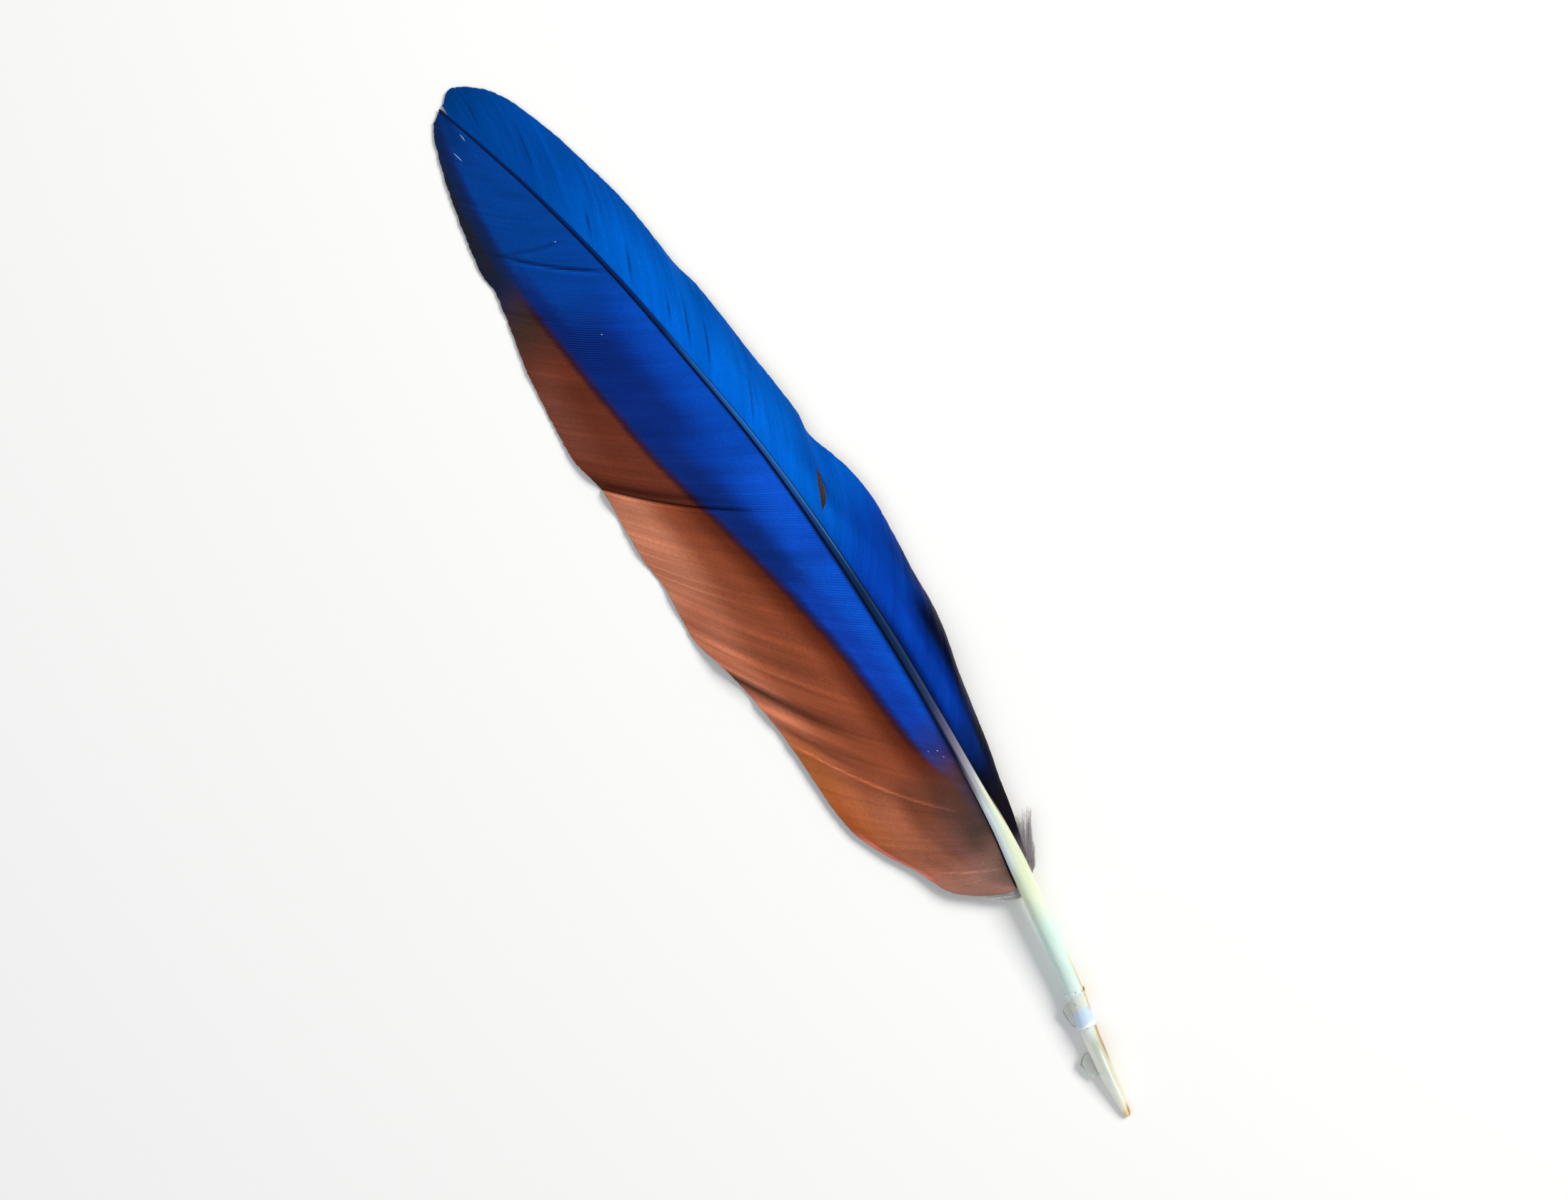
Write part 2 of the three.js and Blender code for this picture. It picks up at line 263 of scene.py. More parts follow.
# %% The shaft's middle, width and depth
# [along, across, height of the middle, width, depth]
SHAFT = [
    [0, 0.4, 0.67, 1.4, 1.3],
    [3, 0.8, 1.1, 2.1, 2.0],
    [12, 2.1, 2.0, 3.6, 3.5],
    [22, 4.1, 2.7, 3.9, 4.0],
    [30, 6.1, 3.2, 4.1, 4.1],
    [40, 8.0, 3.8, 4.3, 4.2],
    [60, 11.5, 5.0, 4.3, 4.1],
    [70, 13.0, 5.6, 3.5, 3.9],
    [82, 14.2, 6.2, 2.7, 3.5],
    [100, 15.7, 7.1, 2.4, 3.1],
    [120, 16.9, 7.7, 2.3, 2.7],
    [145, 17.4, 7.9, 1.9, 2.3],
    [170, 16.8, 7.4, 1.5, 1.9],
    [195, 14.5, 6.3, 1.25, 1.5],
    [220, 11.6, 4.6, 1.0, 1.2],
    [245, 7.1, 2.6, 0.75, 0.9],
    [262, 3.0, 1.3, 0.6, 0.75],
    [270.5, 0.7, 0.75, 0.5, 0.6],
    [272.3, 0.2, 0.65, 0.3, 0.35],
]
SHAFT_END = SHAFT[-1][0]
shaft_across, shaft_height, shaft_width, shaft_depth = columns(SHAFT)


def shaft_at(along):
    """The shaft's middle there, with its level direction and the level direction to its right."""
    step = 0.5  # millimetres to either side, for the slope
    along = np.asarray(along, float)
    slope = (shaft_across(along + step) - shaft_across(along - step)) / (2 * step)
    forward = np.stack([slope, np.ones_like(slope)], -1) / np.hypot(slope, 1)[..., None]
    middle = np.stack([shaft_across(along), along, shaft_height(along)], -1)
    return middle, forward, np.stack([forward[..., 1], -forward[..., 0]], -1)


print("the shaft 136 mm along, mm across and up:", shaft_across(136).round(1), shaft_height(136).round(1))

# %% [markdown]
# ## Closed tubes
# All parts of the feather are long thin closed tubes: the shaft is one, each barb is one, each strand of
# down is one. Blender's curve objects could be bevelled into tubes, but their ends and sections can't
# differ from place to place. Rings of points joined by faces can, and numpy makes thousands of them at
# once. Two rings in a row are joined by four-sided faces, and the first and the last ring are closed by a
# face of their own.

# %% Faces of closed tubes


def tube_faces(count, length, sides):
    """Faces of closed tubes whose points are numbered tube by tube, ring by ring."""
    start = (np.arange(count) * length * sides)[:, None, None]
    ring = (np.arange(length - 1) * sides)[None, :, None]
    side = np.arange(sides)
    near, beside = start + ring + side, start + ring + (side + 1) % sides
    skin = np.stack([near, beside, beside + sides, near + sides], -1).reshape(-1, 4)
    first = start[:, 0] + side[::-1]
    last = start[:, 0] + (length - 1) * sides + side
    return [skin, first, last]


def volume_sign(points, skin):
    """Above 0 where the faces point outward."""
    a, b, c, d = (points[skin[:, k]] for k in range(4))
    return np.sum(a * (np.cross(b, c) + np.cross(c, d)))


print("faces of one four-sided tube with three rings:", [f.shape for f in tube_faces(1, 3, 4)])

# %% [markdown]
# ## From tubes to a piece of the feather
# The arrays go into a mesh in one call each, because adding the faces one by one would take minutes. A
# finished mesh carries numbers such as "along" on its points, which the materials read later. Each piece
# rides on the feather's one body and stands for the solid feather, which is then hidden, and it takes the
# material that it is given.

# %% A mesh object from rings of points


def make_piece(name, rings, material, numbers=None, creased=None):
    """A mesh object from rings (tube, ring, side, xyz) in the feather's millimetres. It rides on the frame.
    numbers are given for each point, and creased names the sides whose edges along the tube stay sharp."""
    count, length, sides, _ = rings.shape
    points = rings.reshape(-1, 3)
    faces = tube_faces(count, length, sides)
    if volume_sign(points - points.mean(0), faces[0]) < 0:
        faces = [f[:, ::-1] for f in faces]
    sizes = np.concatenate([np.full(len(f), f.shape[1]) for f in faces])
    mesh = bpy.data.meshes.new(name)
    mesh.vertices.add(len(points))
    mesh.vertices.foreach_set("co", to_frame(points).ravel())
    mesh.loops.add(int(sizes.sum()))
    mesh.loops.foreach_set("vertex_index", np.concatenate([f.ravel() for f in faces]).astype(np.int32))
    mesh.polygons.add(len(sizes))
    mesh.polygons.foreach_set("loop_start", (np.cumsum(sizes) - sizes).astype(np.int32))
    mesh.update(calc_edges=True)
    mesh.validate()
    mesh.shade_smooth()
    for key, values in (numbers or {}).items():
        held = mesh.attributes.new(key, "FLOAT", "POINT")
        held.data.foreach_set("value", np.broadcast_to(values, rings.shape[:3]).astype(np.float32).ravel())
    if creased:
        ends = np.empty(len(mesh.edges) * 2, np.int32)
        mesh.edges.foreach_get("vertices", ends)
        ends = ends.reshape(-1, 2)
        on_side = np.isin(ends % sides, creased).all(1) & (ends[:, 0] % sides == ends[:, 1] % sides)
        mesh.attributes.new("sharp_edge", "BOOLEAN", "EDGE").data.foreach_set("value", on_side)
    mesh.materials.append(material)
    piece = bpy.data.objects.new(name, mesh)
    bpy.context.collection.objects.link(piece)
    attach(piece, "root")
    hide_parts("feather")
    triangles = int((sizes - 2).sum())
    print(f"{name}: {count} tubes, {triangles} triangles")


# %% [markdown]
# ## Colours laid over colours
# Both the shaft and the vanes have colours that change from place to place, with soft or sharp borders.
# They could be painted on an image, or picked by one long formula. Here each colour is a layer, laid over
# the last wherever some number on the mesh has passed from a start to an end value. It reads like a
# painter's recipe and bakes well.

# %% Layers of colour
MIX_SHARE, MIX_UNDER, MIX_OVER, MIXED = 0, 6, 7, 2  # places of the colour sockets on a mix node


def lay(tree, under, measure, layers):
    """Lays colours over another. Each layer is a colour and its edges (measure, start, end), and shows
    where all edges have been passed. Start may be above end."""
    for colour, *edges in layers:
        mask = None
        for key, start, end in edges:
            passed = add(tree, "ShaderNodeMapRange", {
                "Value": measure[key], "From Min": start, "From Max": end,
            }, interpolation_type="SMOOTHSTEP").outputs["Result"]
            if mask is not None:
                passed = add(tree, "ShaderNodeMath", {0: mask, 1: passed}, operation="MULTIPLY").outputs[0]
            mask = passed
        mixed = add(tree, "ShaderNodeMix", {
            MIX_SHARE: mask, MIX_UNDER: under, MIX_OVER: linear(colour)}, data_type="RGBA")
        under = mixed.outputs[MIXED]
    return under


print("a layer needs a colour and edges such as", ("along", 10, 20))

# %% [markdown]
# ## The colours of the shaft
# The shaft is solid keratin, the stuff of nails and horn. In the quill it is thin and clear over a pale dry
# lining, so it looks ivory with green and blue in it, and its end is amber where it sat in the skin. In the
# rachis it is full of dark pigment and navy like the barbs. The colours down its middle are a ramp. What
# differs on its sides is laid over that, by how far a point is turned to the right (1) or the left (-1)
# and how far it looks down (1) or up (-1). Some of these side layers are painted light and shade: the dark
# left side of the rachis is painted shade, and a lighter band on its upper right and a thin white line
# down the quill are painted highlights.

# %% Colours of the shaft
# [millimetres along the shaft, its colour there]
SHAFT_COLOURS = [
    (0, "#ecd7a4"), (2.5, "#eee9d2"), (5, "#e0e5d8"), (11, "#ccd4c6"), (18, "#c2cbb9"), (22.4, "#e2ecec"),
    (24.5, "#cadef4"), (27.5, "#dbe3dc"), (32, "#d3e9e2"), (45, "#d2e9df"), (54, "#e2ebcc"), (64, "#dbe6cb"),
    (73, "#cfdcd8"), (80, "#b3b4ba"), (88, "#85808f"), (95, "#55526c"), (101, "#2b3654"), (112, "#10264a"),
    (130, "#07203f"), (146, "#0e3160"), (160, "#1a4a8a"), (178, "#175296"), (192, "#0f4484"),
    (204, "#031c54"), (272.3, "#02184a"),
]
# (colour, its edges)
SHAFT_LAYERS = [
    ("#d6dcbe", ("turned", 0.0, 0.5), ("along", 50, 60), ("along", 86, 76)),
    ("#eaf9fb", ("turned", -0.05, -0.5), ("along", 57, 64), ("along", 80, 74)),
    # painted shade: this row and the next darken the left side of the rachis, which faces away from the
    # light
    ("#0e2140", ("turned", -0.1, -0.65), ("along", 77, 90)),
    ("#020b1e", ("turned", -0.3, -0.6), ("along", 96, 108)),
    ("#040813", ("turned", 0.66, 0.88), ("along", 68, 78)),
    # painted highlight: a lighter band along the upper right of the rachis
    ("#2c67a6", ("turned", 0.3, 0.48), ("turned", 0.72, 0.56), ("along", 132, 146), ("along", 204, 190)),
    ("#dcd0b0", ("turned", 0.55, 0.92), ("along", 25, 19)),
    ("#bd9661", ("turned", 0.5, 0.86), ("along", 25, 22), ("along", 11, 19)),
    # painted highlight: a thin white line down the quill
    ("#eef1ea", ("turned", 0.14, 0.28), ("turned", 0.48, 0.36), ("along", 3, 6), ("along", 18, 14)),
    ("#fbfbf0", ("turned", -0.15, -0.8), ("along", 25, 18)),
    ("#a5855a", ("turned", 0.7, 0.9), ("along", 12.5, 16.5), ("along", 20.5, 16.5)),
    ("#f4d795", ("along", 2.4, 0.6)),
    ("#ab8348", ("turned", 0.2, 0.7), ("along", 4.0, 1.2)),
    ("#cfb98a", ("turned", 0.66, 0.9), ("along", 22, 24), ("along", 44, 30)),
    ("#2f2623", ("below", 0.2, 0.7), ("along", 88, 112)),
]
shaft_keratin, tree, measure = new_material("shaft_keratin", ("along", "turned", "below"))
share = add(tree, "ShaderNodeMath", {0: measure["along"], 1: SHAFT_END}, operation="DIVIDE").outputs[0]
gradient = add(tree, "ShaderNodeValToRGB", {0: share})
stops = gradient.color_ramp.elements
for _ in SHAFT_COLOURS[2:]:
    stops.new(0.5)
for stop, (place, colour) in zip(stops, SHAFT_COLOURS):
    stop.position, stop.color = place / SHAFT_END, linear(colour)
tone = lay(tree, gradient.outputs["Color"], measure, SHAFT_LAYERS)
print("colours down the shaft:", len(stops), "and on its sides:", len(SHAFT_LAYERS))

# %% [markdown]
# ## The surface of the shaft
# Keratin grows in lengthwise fibres, which show as faint streaks, lighter and darker and a few hundredths
# of a millimetre deep. Real ones are finer than the picture can show, so these are drawn some 0.4 mm wide.
# Preening leaves the surface satin: roughness 0.3 on the quill and 0.42 on the rachis, at keratin's IOR of
# 1.54. Light enters the clear wall of the quill and comes out beside where it went in, so the quill has
# some subsurface. The solid rachis has none.

# %% Keratin of the shaft
KERATIN_IOR = 1.54
QUILL_ROUGHNESS, RACHIS_ROUGHNESS = 0.3, 0.42
STREAKS_PER_MM = 2.2  # round the shaft
STREAK_SQUEEZE = 0.03  # along the shaft they are thirty times as long
STREAK_DEPTH = 0.05 * MM
SATIN_TINT = "#86aee8"  # the sky's blue, which satin keratin picks up

place = add(tree, "ShaderNodeTexCoord").outputs["Object"]
stretched = add(tree, "ShaderNodeMapping", {"Vector": place, "Scale": (1 / MM, STREAK_SQUEEZE / MM, 1 / MM)})
streaks = add(tree, "ShaderNodeTexNoise", {
    "Vector": stretched.outputs[0], "Scale": STREAKS_PER_MM, "Detail": 3.0}).outputs[0]
lighter = add(tree, "ShaderNodeMapRange", {"Value": streaks, "To Min": 0.86, "To Max": 1.12}).outputs[0]
tone = add(tree, "ShaderNodeHueSaturation", {"Value": lighter, "Color": tone}).outputs[0]
bump = add(tree, "ShaderNodeBump", {"Height": streaks, "Strength": 0.12, "Distance": STREAK_DEPTH})
clear = add(tree, "ShaderNodeMapRange", {
    "Value": measure["along"], "From Min": 66, "From Max": 84, "To Min": 0.3, "To Max": 0.0})
rough = add(tree, "ShaderNodeMapRange", {
    "Value": measure["along"], "From Min": 70, "From Max": 100,
    "To Min": QUILL_ROUGHNESS, "To Max": RACHIS_ROUGHNESS})
surface = add(tree, "ShaderNodeBsdfPrincipled", {
    "Base Color": tone, "Roughness": rough.outputs[0], "IOR": KERATIN_IOR, "Specular IOR Level": 0.16,
    "Specular Tint": linear(SATIN_TINT), "Normal": bump.outputs[0], "Subsurface Weight": clear.outputs[0],
    "Subsurface Radius": (1.0, 0.9, 0.7), "Subsurface Scale": 0.6 * MM,
})
add(tree, "ShaderNodeOutputMaterial", {"Surface": surface.outputs[0]})
print("nodes in the shaft's material:", len(tree.nodes))

# %% [markdown]
# ## The shaft
# It is one tube with a section that changes: round at the quill, squarer in the rachis, with a groove
# below, and with two low rings where the sheath ended. The section has the same measures as the solid's and
# many more sides, so that its outline is round in a close view.

# %% Grow the shaft
SHEATH_RINGS = {"at": [22.3, 30.2], "swell": 0.056, "half": 1.2}
SHAFT_GROOVE = {"deep": 0.3, "half": 0.35, "start": 66, "end": 215, "fade": 22}
SQUARED = 0.75  # power that squares the round section
QUILL_END_ROUND = 1.0  # millimetres over which the quill's end closes
QUILL_END_LEAST = 0.1  # square of the share of its width that is left at the very end
SHAFT_STATIONS, SHAFT_SIDES = 370, 32
CROWDED = 1.15  # over 1, the stations are closer together towards the quill's end


def sheath_swell(along):
    """How many times its width the quill has at the low rings."""
    rings = sum(bell(along - ring, SHEATH_RINGS["half"]) for ring in SHEATH_RINGS["at"])
    return 1 + SHEATH_RINGS["swell"] * rings


stations = np.linspace(0, 1, SHAFT_STATIONS) ** CROWDED * SHAFT_END
middle, forward, right = shaft_at(stations)
angle = (np.arange(SHAFT_SIDES) + 0.5) / SHAFT_SIDES * 2 * np.pi
cosine, sine = np.cos(angle), np.sin(angle)
begun = smoothstep(stations, SHAFT_GROOVE["start"], SHAFT_GROOVE["start"] + SHAFT_GROOVE["fade"])
ended = smoothstep(stations, SHAFT_GROOVE["end"] - SHAFT_GROOVE["fade"], SHAFT_GROOVE["end"])
deep = (SHAFT_GROOVE["deep"] * begun * (1 - ended))[:, None]
groove = deep * bell(cosine, SHAFT_GROOVE["half"]) * (sine < 0)
power = (1 + (SQUARED - 1) * begun)[:, None]
swell = sheath_swell(stations)
wide = 0.5 * (shaft_width(stations) * swell)[:, None] * np.sign(cosine) * np.abs(cosine) ** power
high = 0.5 * (shaft_depth(stations) * swell)[:, None] * (np.sign(sine) * np.abs(sine) ** power + groove)
closes = 1 - np.clip(stations / QUILL_END_ROUND, 0, 1)
rounded = np.sqrt(np.clip(1 - closes**2, QUILL_END_LEAST, 1))[:, None]
ring_points = middle[:, None] + np.concatenate(
    [right[:, None] * (wide * rounded)[..., None], (high * rounded)[..., None]], -1)
make_piece("shaft", ring_points[None], shaft_keratin, {
    "along": stations[:, None], "turned": cosine, "below": -sine,
})

# %% [markdown]
# ## The form of a vane
# A barb leaves the shaft at its root, bends towards the tip of the feather and ends at the vane's edge.
# Three things fix it: the place of its root, where its tip lies, and how it bends. All of them change
# slowly along the shaft, so the vane is one smooth function of (root, share), where share is how far out
# along the barb a point is. The inner vane, on the left, is wide and wavy. The outer one is narrow and
# folds down towards the table.

# %% Measures of the two vanes
# [place of a barb's root along the shaft, its tip across, its tip along, its tip's height]
INNER_EDGE = [
    [56.5, 6.0, 56.8, 4.2],
    [57.6, 0.5, 59.8, 3.4],
    [59.3, -4.6, 64.4, 2.7],
    [61.5, -7.6, 71.5, 2.1],
    [64.5, -11.6, 79.2, 1.7],
    [68, -14.6, 87, 1.5],
    [72, -15.3, 97, 1.4],
    [77, -15.1, 110, 1.4],
    [84, -16.0, 122.5, 1.4],
    [91, -17.6, 133, 1.4],
    [98, -19.5, 141.5, 1.2],
    [104, -19.3, 147.5, 0.9],
    [113, -18.5, 154.5, 0.7],
    [126, -18.8, 163.5, 0.7],
    [140, -18.3, 173, 0.8],
    [152, -17.8, 182, 1.2],
    [165, -19.2, 191.5, 0.8],
    [180, -17.9, 204, 0.6],
    [195, -15.5, 217.5, 0.6],
    [211, -12.4, 231.5, 0.6],
    [216, -12.8, 236, 0.6],
    [228, -10.9, 245.5, 0.6],
    [240, -8.3, 255.5, 0.6],
    [250, -5.7, 264, 0.6],
    [258, -3.0, 269.6, 0.6],
    [268, 0.4, 272.3, 0.6],
]
OUTER_EDGE = [
    [60, 14.6, 62, 5.0],
    [62.5, 17.2, 70.5, 4.2],
    [68, 19.2, 78.5, 3.4],
    [75, 21.5, 87, 2.2],
    [84, 24.6, 101, 0.8],
    [92, 27.6, 112, 0.45],
    [100, 28.9, 119.5, 0.45],
    [108, 29.5, 128, 1.3],
    [118, 30.7, 139.5, 2.3],
    [125, 31.2, 146, 2.6],
    [132, 30.5, 154.5, 2.6],
    [142.5, 27.5, 166, 2.4],
    [148, 28.1, 171.5, 2.3],
    [160, 27.3, 183.5, 2.1],
    [184, 25.6, 207.5, 1.5],
    [190, 24.3, 214.5, 1.4],
    [206, 22.9, 231.5, 1.0],
    [217, 20.8, 242.5, 0.8],
    [228, 18.0, 254.5, 0.7],
    [238, 14.4, 265, 0.6],
    [247, 10.8, 270.8, 0.6],
    [261.5, 4.6, 274.8, 0.6],
    [269, 1.4, 272.6, 0.6],
]
print("edges:", len(INNER_EDGE), "points on the inner vane,", len(OUTER_EDGE), "on the outer one")

# %% [markdown]
# ## Bends, droop and slow waves
# Seen from above a barb isn't straight: it leaves the shaft at a wide angle and bends towards the tip. Seen
# from the side it stays high for a while and then turns down to the edge, earlier or later. And the whole
# vane has slow waves along its barbs, from lying on other things. All three go into one function, which
# gives any point of the vane.

# %% One smooth function for a vane
INNER_BEND = (0.6, 0.42)  # where a barb bends, as shares of its reach across and along
OUTER_BEND = (0.79, 0.53)
# [root, how late the vane turns down there]
INNER_DROOP = [[56, 1.5], [270, 1.7]]
OUTER_DROOP = [[60, 1.4], [78, 2.0], [90, 3.4], [100, 3.4], [112, 1.8], [130, 1.4], [270, 1.3]]
# [root, half width, height]
INNER_WAVES = [
    [78.3, 2.0, -0.18], [81.9, 2.0, 0.2], [86.3, 2.2, -0.75], [92.5, 3.0, 0.8], [101, 4, -0.4],
    [110, 3, 0.35], [122, 4, -0.3], [132, 4, 0.3], [142, 4, -0.3], [148, 3.4, 0.45],
    [152.8, 2.2, -0.6], [159, 3.5, 0.3], [214, 3, -0.2],
]
OUTER_WAVES = [[125, 6, 0.3], [143, 4, -0.35], [154, 5, 0.3], [189, 3.5, -0.25]]
WAVE_RISES = (0.15, 0.85)  # shares of a barb between which a wave grows to its full height
SEAT = 0.12  # height of the roots above the shaft's middle, as a share of its depth


def vane_form(edge, bend, droop, waves):
    """A function that says where a barb has got to, from its root's place and the share of its way."""
    tip_across, tip_along, tip_height = columns(edge)
    turns_down = profile(droop)

    def form(root, share, past=0.0):
        root, share = np.broadcast_arrays(np.asarray(root, float), np.asarray(share, float))
        middle, forward, right = shaft_at(root)
        reach = np.stack([tip_across(root), tip_along(root)], -1) - middle[..., :2]
        longer = 1 + past / np.linalg.norm(reach, axis=-1)
        wide = np.sum(reach * right, -1) * longer * (2 * share * (1 - share) * bend[0] + share**2)
        ahead = np.sum(reach * forward, -1) * longer * (2 * share * (1 - share) * bend[1] + share**2)
        seat = middle[..., 2] + SEAT * shaft_depth(root)
        wave = sum(height * bell(root - place, half) for place, half, height in waves)
        height = seat + (tip_height(root) - seat) * share ** turns_down(root)
        height = height + wave * smoothstep(share, *WAVE_RISES)
        level = middle[..., :2] + right * wide[..., None] + forward * ahead[..., None]
        return np.concatenate([level, height[..., None]], -1)

    return form


inner_form = vane_form(INNER_EDGE, INNER_BEND, INNER_DROOP, INNER_WAVES)
outer_form = vane_form(OUTER_EDGE, OUTER_BEND, OUTER_DROOP, OUTER_WAVES)
print("tip of the inner barb from 106 mm:", inner_form(106.0, 1.0).round(1))
print("tip of the outer barb from 128 mm:", outer_form(128.0, 1.0).round(1))

# %% [markdown]
# ## Where the barbs sit
# On a real feather of this size the barbs are about 0.6 mm apart. Near the quill they fan out, so even
# steps along the shaft would leave gaps at the edge. Steps that are even in the mean of root and tip travel
# share the crowding.

# %% Roots of the barbs
BARB_SPACING = 0.6  # millimetres
# The shares of its length at which a barb has a ring of points: closer together at the tip, which tapers
SHARES = np.concatenate([np.linspace(0, 0.9, 27), [0.925, 0.945, 0.96, 0.972, 0.982, 0.99, 0.996, 1.0]])


def barb_roots(form, edge, spacing):
    """Places along the shaft whose barbs are evenly spaced in the mean of their roots and tips."""
    fine_steps = 3000
    fine = np.linspace(edge[0][0], edge[-1][0], fine_steps)
    tips = form(fine, 1.0)
    travel = 0.5 * (np.diff(fine) + np.linalg.norm(np.diff(tips, axis=0), axis=-1))
    reached = np.concatenate([[0], np.cumsum(travel)])
    return np.interp(np.linspace(0, reached[-1], int(reached[-1] / spacing)), reached, fine)


inner_roots = barb_roots(inner_form, INNER_EDGE, BARB_SPACING)
outer_roots = barb_roots(outer_form, OUTER_EDGE, BARB_SPACING)
print("barbs:", len(inner_roots), "inner,", len(outer_roots), "outer")

# %% [markdown]
# ## Creases
# On top of its slow waves the vane has sharp creases and raised lines, where a lock of barbs was bent and
# set that way. They run along the barbs or cross them at a slant, and they fade out before the shaft. A
# bump map could fake them, but they change the outline of the surface in a low light, so they are real
# shape here.

# %% Sharp folds in the vanes
# [root where the fold starts near the shaft, root where it ends, share from, share to, half width, height]
INNER_FOLDS = [
    [152.3, 152.0, 0.30, 1.10, 0.55, -0.45],
    [154.6, 154.0, 0.42, 0.95, 1.30, -0.30],
    [150.9, 150.6, 0.45, 1.10, 0.50, 0.22],
    [73.7, 77.4, 0.22, 0.92, 0.28, 0.18],
    [78.3, 80.0, 0.62, 1.05, 1.30, -0.26],
    [81.6, 83.8, 0.46, 1.05, 1.30, 0.22],
    [60.6, 61.4, 0.10, 0.95, 0.22, 0.10],
    [220.5, 223.4, 0.06, 0.72, 0.60, -0.26],
    [229.9, 224.8, 0.20, 0.80, 0.50, -0.16],
    [108.4, 110.2, 0.34, 0.70, 1.60, 0.26],
    [97.2, 100.4, 0.34, 0.92, 0.90, 0.22],
    [136.0, 136.5, 0.78, 1.10, 1.00, 0.16],
    [127.5, 129.0, 0.76, 1.10, 1.60, 0.18],
    [118.0, 119.5, 0.66, 1.10, 2.00, -0.20],
    [163.5, 166.0, 0.55, 1.10, 1.60, 0.18],
    [90.6, 92.4, 0.70, 1.10, 0.60, 0.22],
    [77.6, 77.0, 0.72, 1.05, 0.60, 0.20],
    [176.0, 178.0, 0.50, 1.10, 2.00, -0.18],
    [188.0, 190.0, 0.50, 1.10, 1.60, 0.16],
    [204.0, 203.0, 0.60, 1.10, 1.20, -0.16],
]
OUTER_FOLDS = [
    [96.0, 99.0, 0.30, 1.10, 1.60, -0.30],
    [104.0, 106.0, 0.35, 1.10, 1.20, 0.22],
    [113.0, 115.0, 0.40, 1.10, 1.40, -0.20],
    [170.0, 171.0, 0.30, 1.10, 1.40, -0.16],
    [198.0, 199.5, 0.25, 1.10, 1.20, -0.14],
    [233.0, 235.0, 0.25, 1.10, 1.20, 0.12],
]
FOLD_FADES = 0.1  # share of a barb over which a fold rises


def along_barbs(roots, marks):
    """The sum of marks that run along the barbs, for each barb and share. Each fades out at its two ends."""
    total = np.zeros((len(roots), len(SHARES)))
    for root_in, root_out, share_in, share_out, half, height in marks:
        place = root_in + (root_out - root_in) * (SHARES - share_in) / (share_out - share_in)
        there = smoothstep(SHARES, share_in - FOLD_FADES, share_in + FOLD_FADES) * smoothstep(
            SHARES, share_out + FOLD_FADES, share_out - FOLD_FADES)
        total += height * there * bell(roots[:, None] - place, half)
    return total


print("folds:", len(INNER_FOLDS), "in the inner vane,", len(OUTER_FOLDS), "in the outer one")

# %% [markdown]
# ## Painted light and shade along the folds
# Where a lock of barbs was bent, one side of the fold is painted lighter and the crease darker, as
# painted highlight and painted shade. Light alone would not show that from above, so each such line is
# also listed as a mark that makes the barbs lighter or darker there.

# %% Painted highlights and shade along the folds
# [root where the mark starts near the shaft, root where it ends, share from, share to, half width,
#  how much painted light there, or painted shade where it is below 0]
INNER_PAINTED_LIGHT_AND_SHADE = [
    [152.4, 152.2, 0.28, 1.10, 0.50, -0.62],
    [155.0, 154.8, 0.42, 1.10, 2.60, -0.40],
    [151.2, 151.0, 0.46, 1.10, 0.50, 0.34],
    [146.0, 144.0, 0.66, 1.10, 4.50, 0.12],
    [87.8, 90.2, 0.58, 1.10, 1.90, -0.46],
    [88.9, 89.7, 0.76, 1.10, 1.30, -0.32],
    [82.0, 84.4, 0.46, 1.05, 1.20, 0.14],
    [78.6, 81.4, 0.66, 0.96, 0.90, -0.26],
    [76.0, 77.6, 0.72, 1.00, 0.45, 0.24],
    [94.2, 96.2, 0.74, 1.10, 1.70, -0.34],
    [97.4, 101.4, 0.34, 0.96, 1.40, 0.16],
    [102.4, 104.4, 0.42, 1.00, 1.70, -0.16],
    [108.2, 110.6, 0.34, 0.74, 2.20, 0.18],
    [114.0, 116.0, 0.66, 1.10, 2.00, -0.16],
    [125.0, 127.0, 0.60, 1.10, 1.60, 0.16],
    [134.5, 135.5, 0.80, 1.10, 1.20, 0.12],
    [131.5, 132.0, 0.78, 1.10, 1.40, -0.10],
    [73.8, 77.5, 0.22, 0.90, 0.22, 0.70],
    [72.6, 76.3, 0.28, 0.90, 0.90, -0.10],
    [60.6, 61.4, 0.14, 0.72, 0.14, 0.34],
    [65.8, 66.6, 0.20, 0.90, 0.26, 0.12],
    [220.9, 223.8, 0.06, 0.70, 0.50, -0.60],
    [219.7, 222.5, 0.08, 0.66, 0.50, 0.34],
    [229.6, 224.4, 0.20, 0.76, 0.50, -0.36],
    [185.0, 186.0, 0.60, 1.10, 2.40, -0.14],
    [206.0, 206.0, 0.66, 1.10, 1.00, -0.22],
]
OUTER_PAINTED_LIGHT_AND_SHADE = [
    [145.9, 145.7, 0.54, 1.00, 0.45, -0.45],
    [170.0, 171.0, 0.30, 1.10, 1.60, -0.12],
    [198.0, 199.5, 0.25, 1.10, 1.40, -0.12],
    [139.0, 140.0, 0.20, 0.90, 2.00, 0.08],
    [148.6, 150.0, 0.35, 0.95, 2.50, -0.12],
    [118.0, 120.0, 0.10, 0.70, 2.40, -0.14],
    [233.0, 235.0, 0.25, 1.10, 1.40, 0.10],
]
print("marks:", len(INNER_PAINTED_LIGHT_AND_SHADE), "on the inner vane,", len(OUTER_PAINTED_LIGHT_AND_SHADE), "on the outer one")
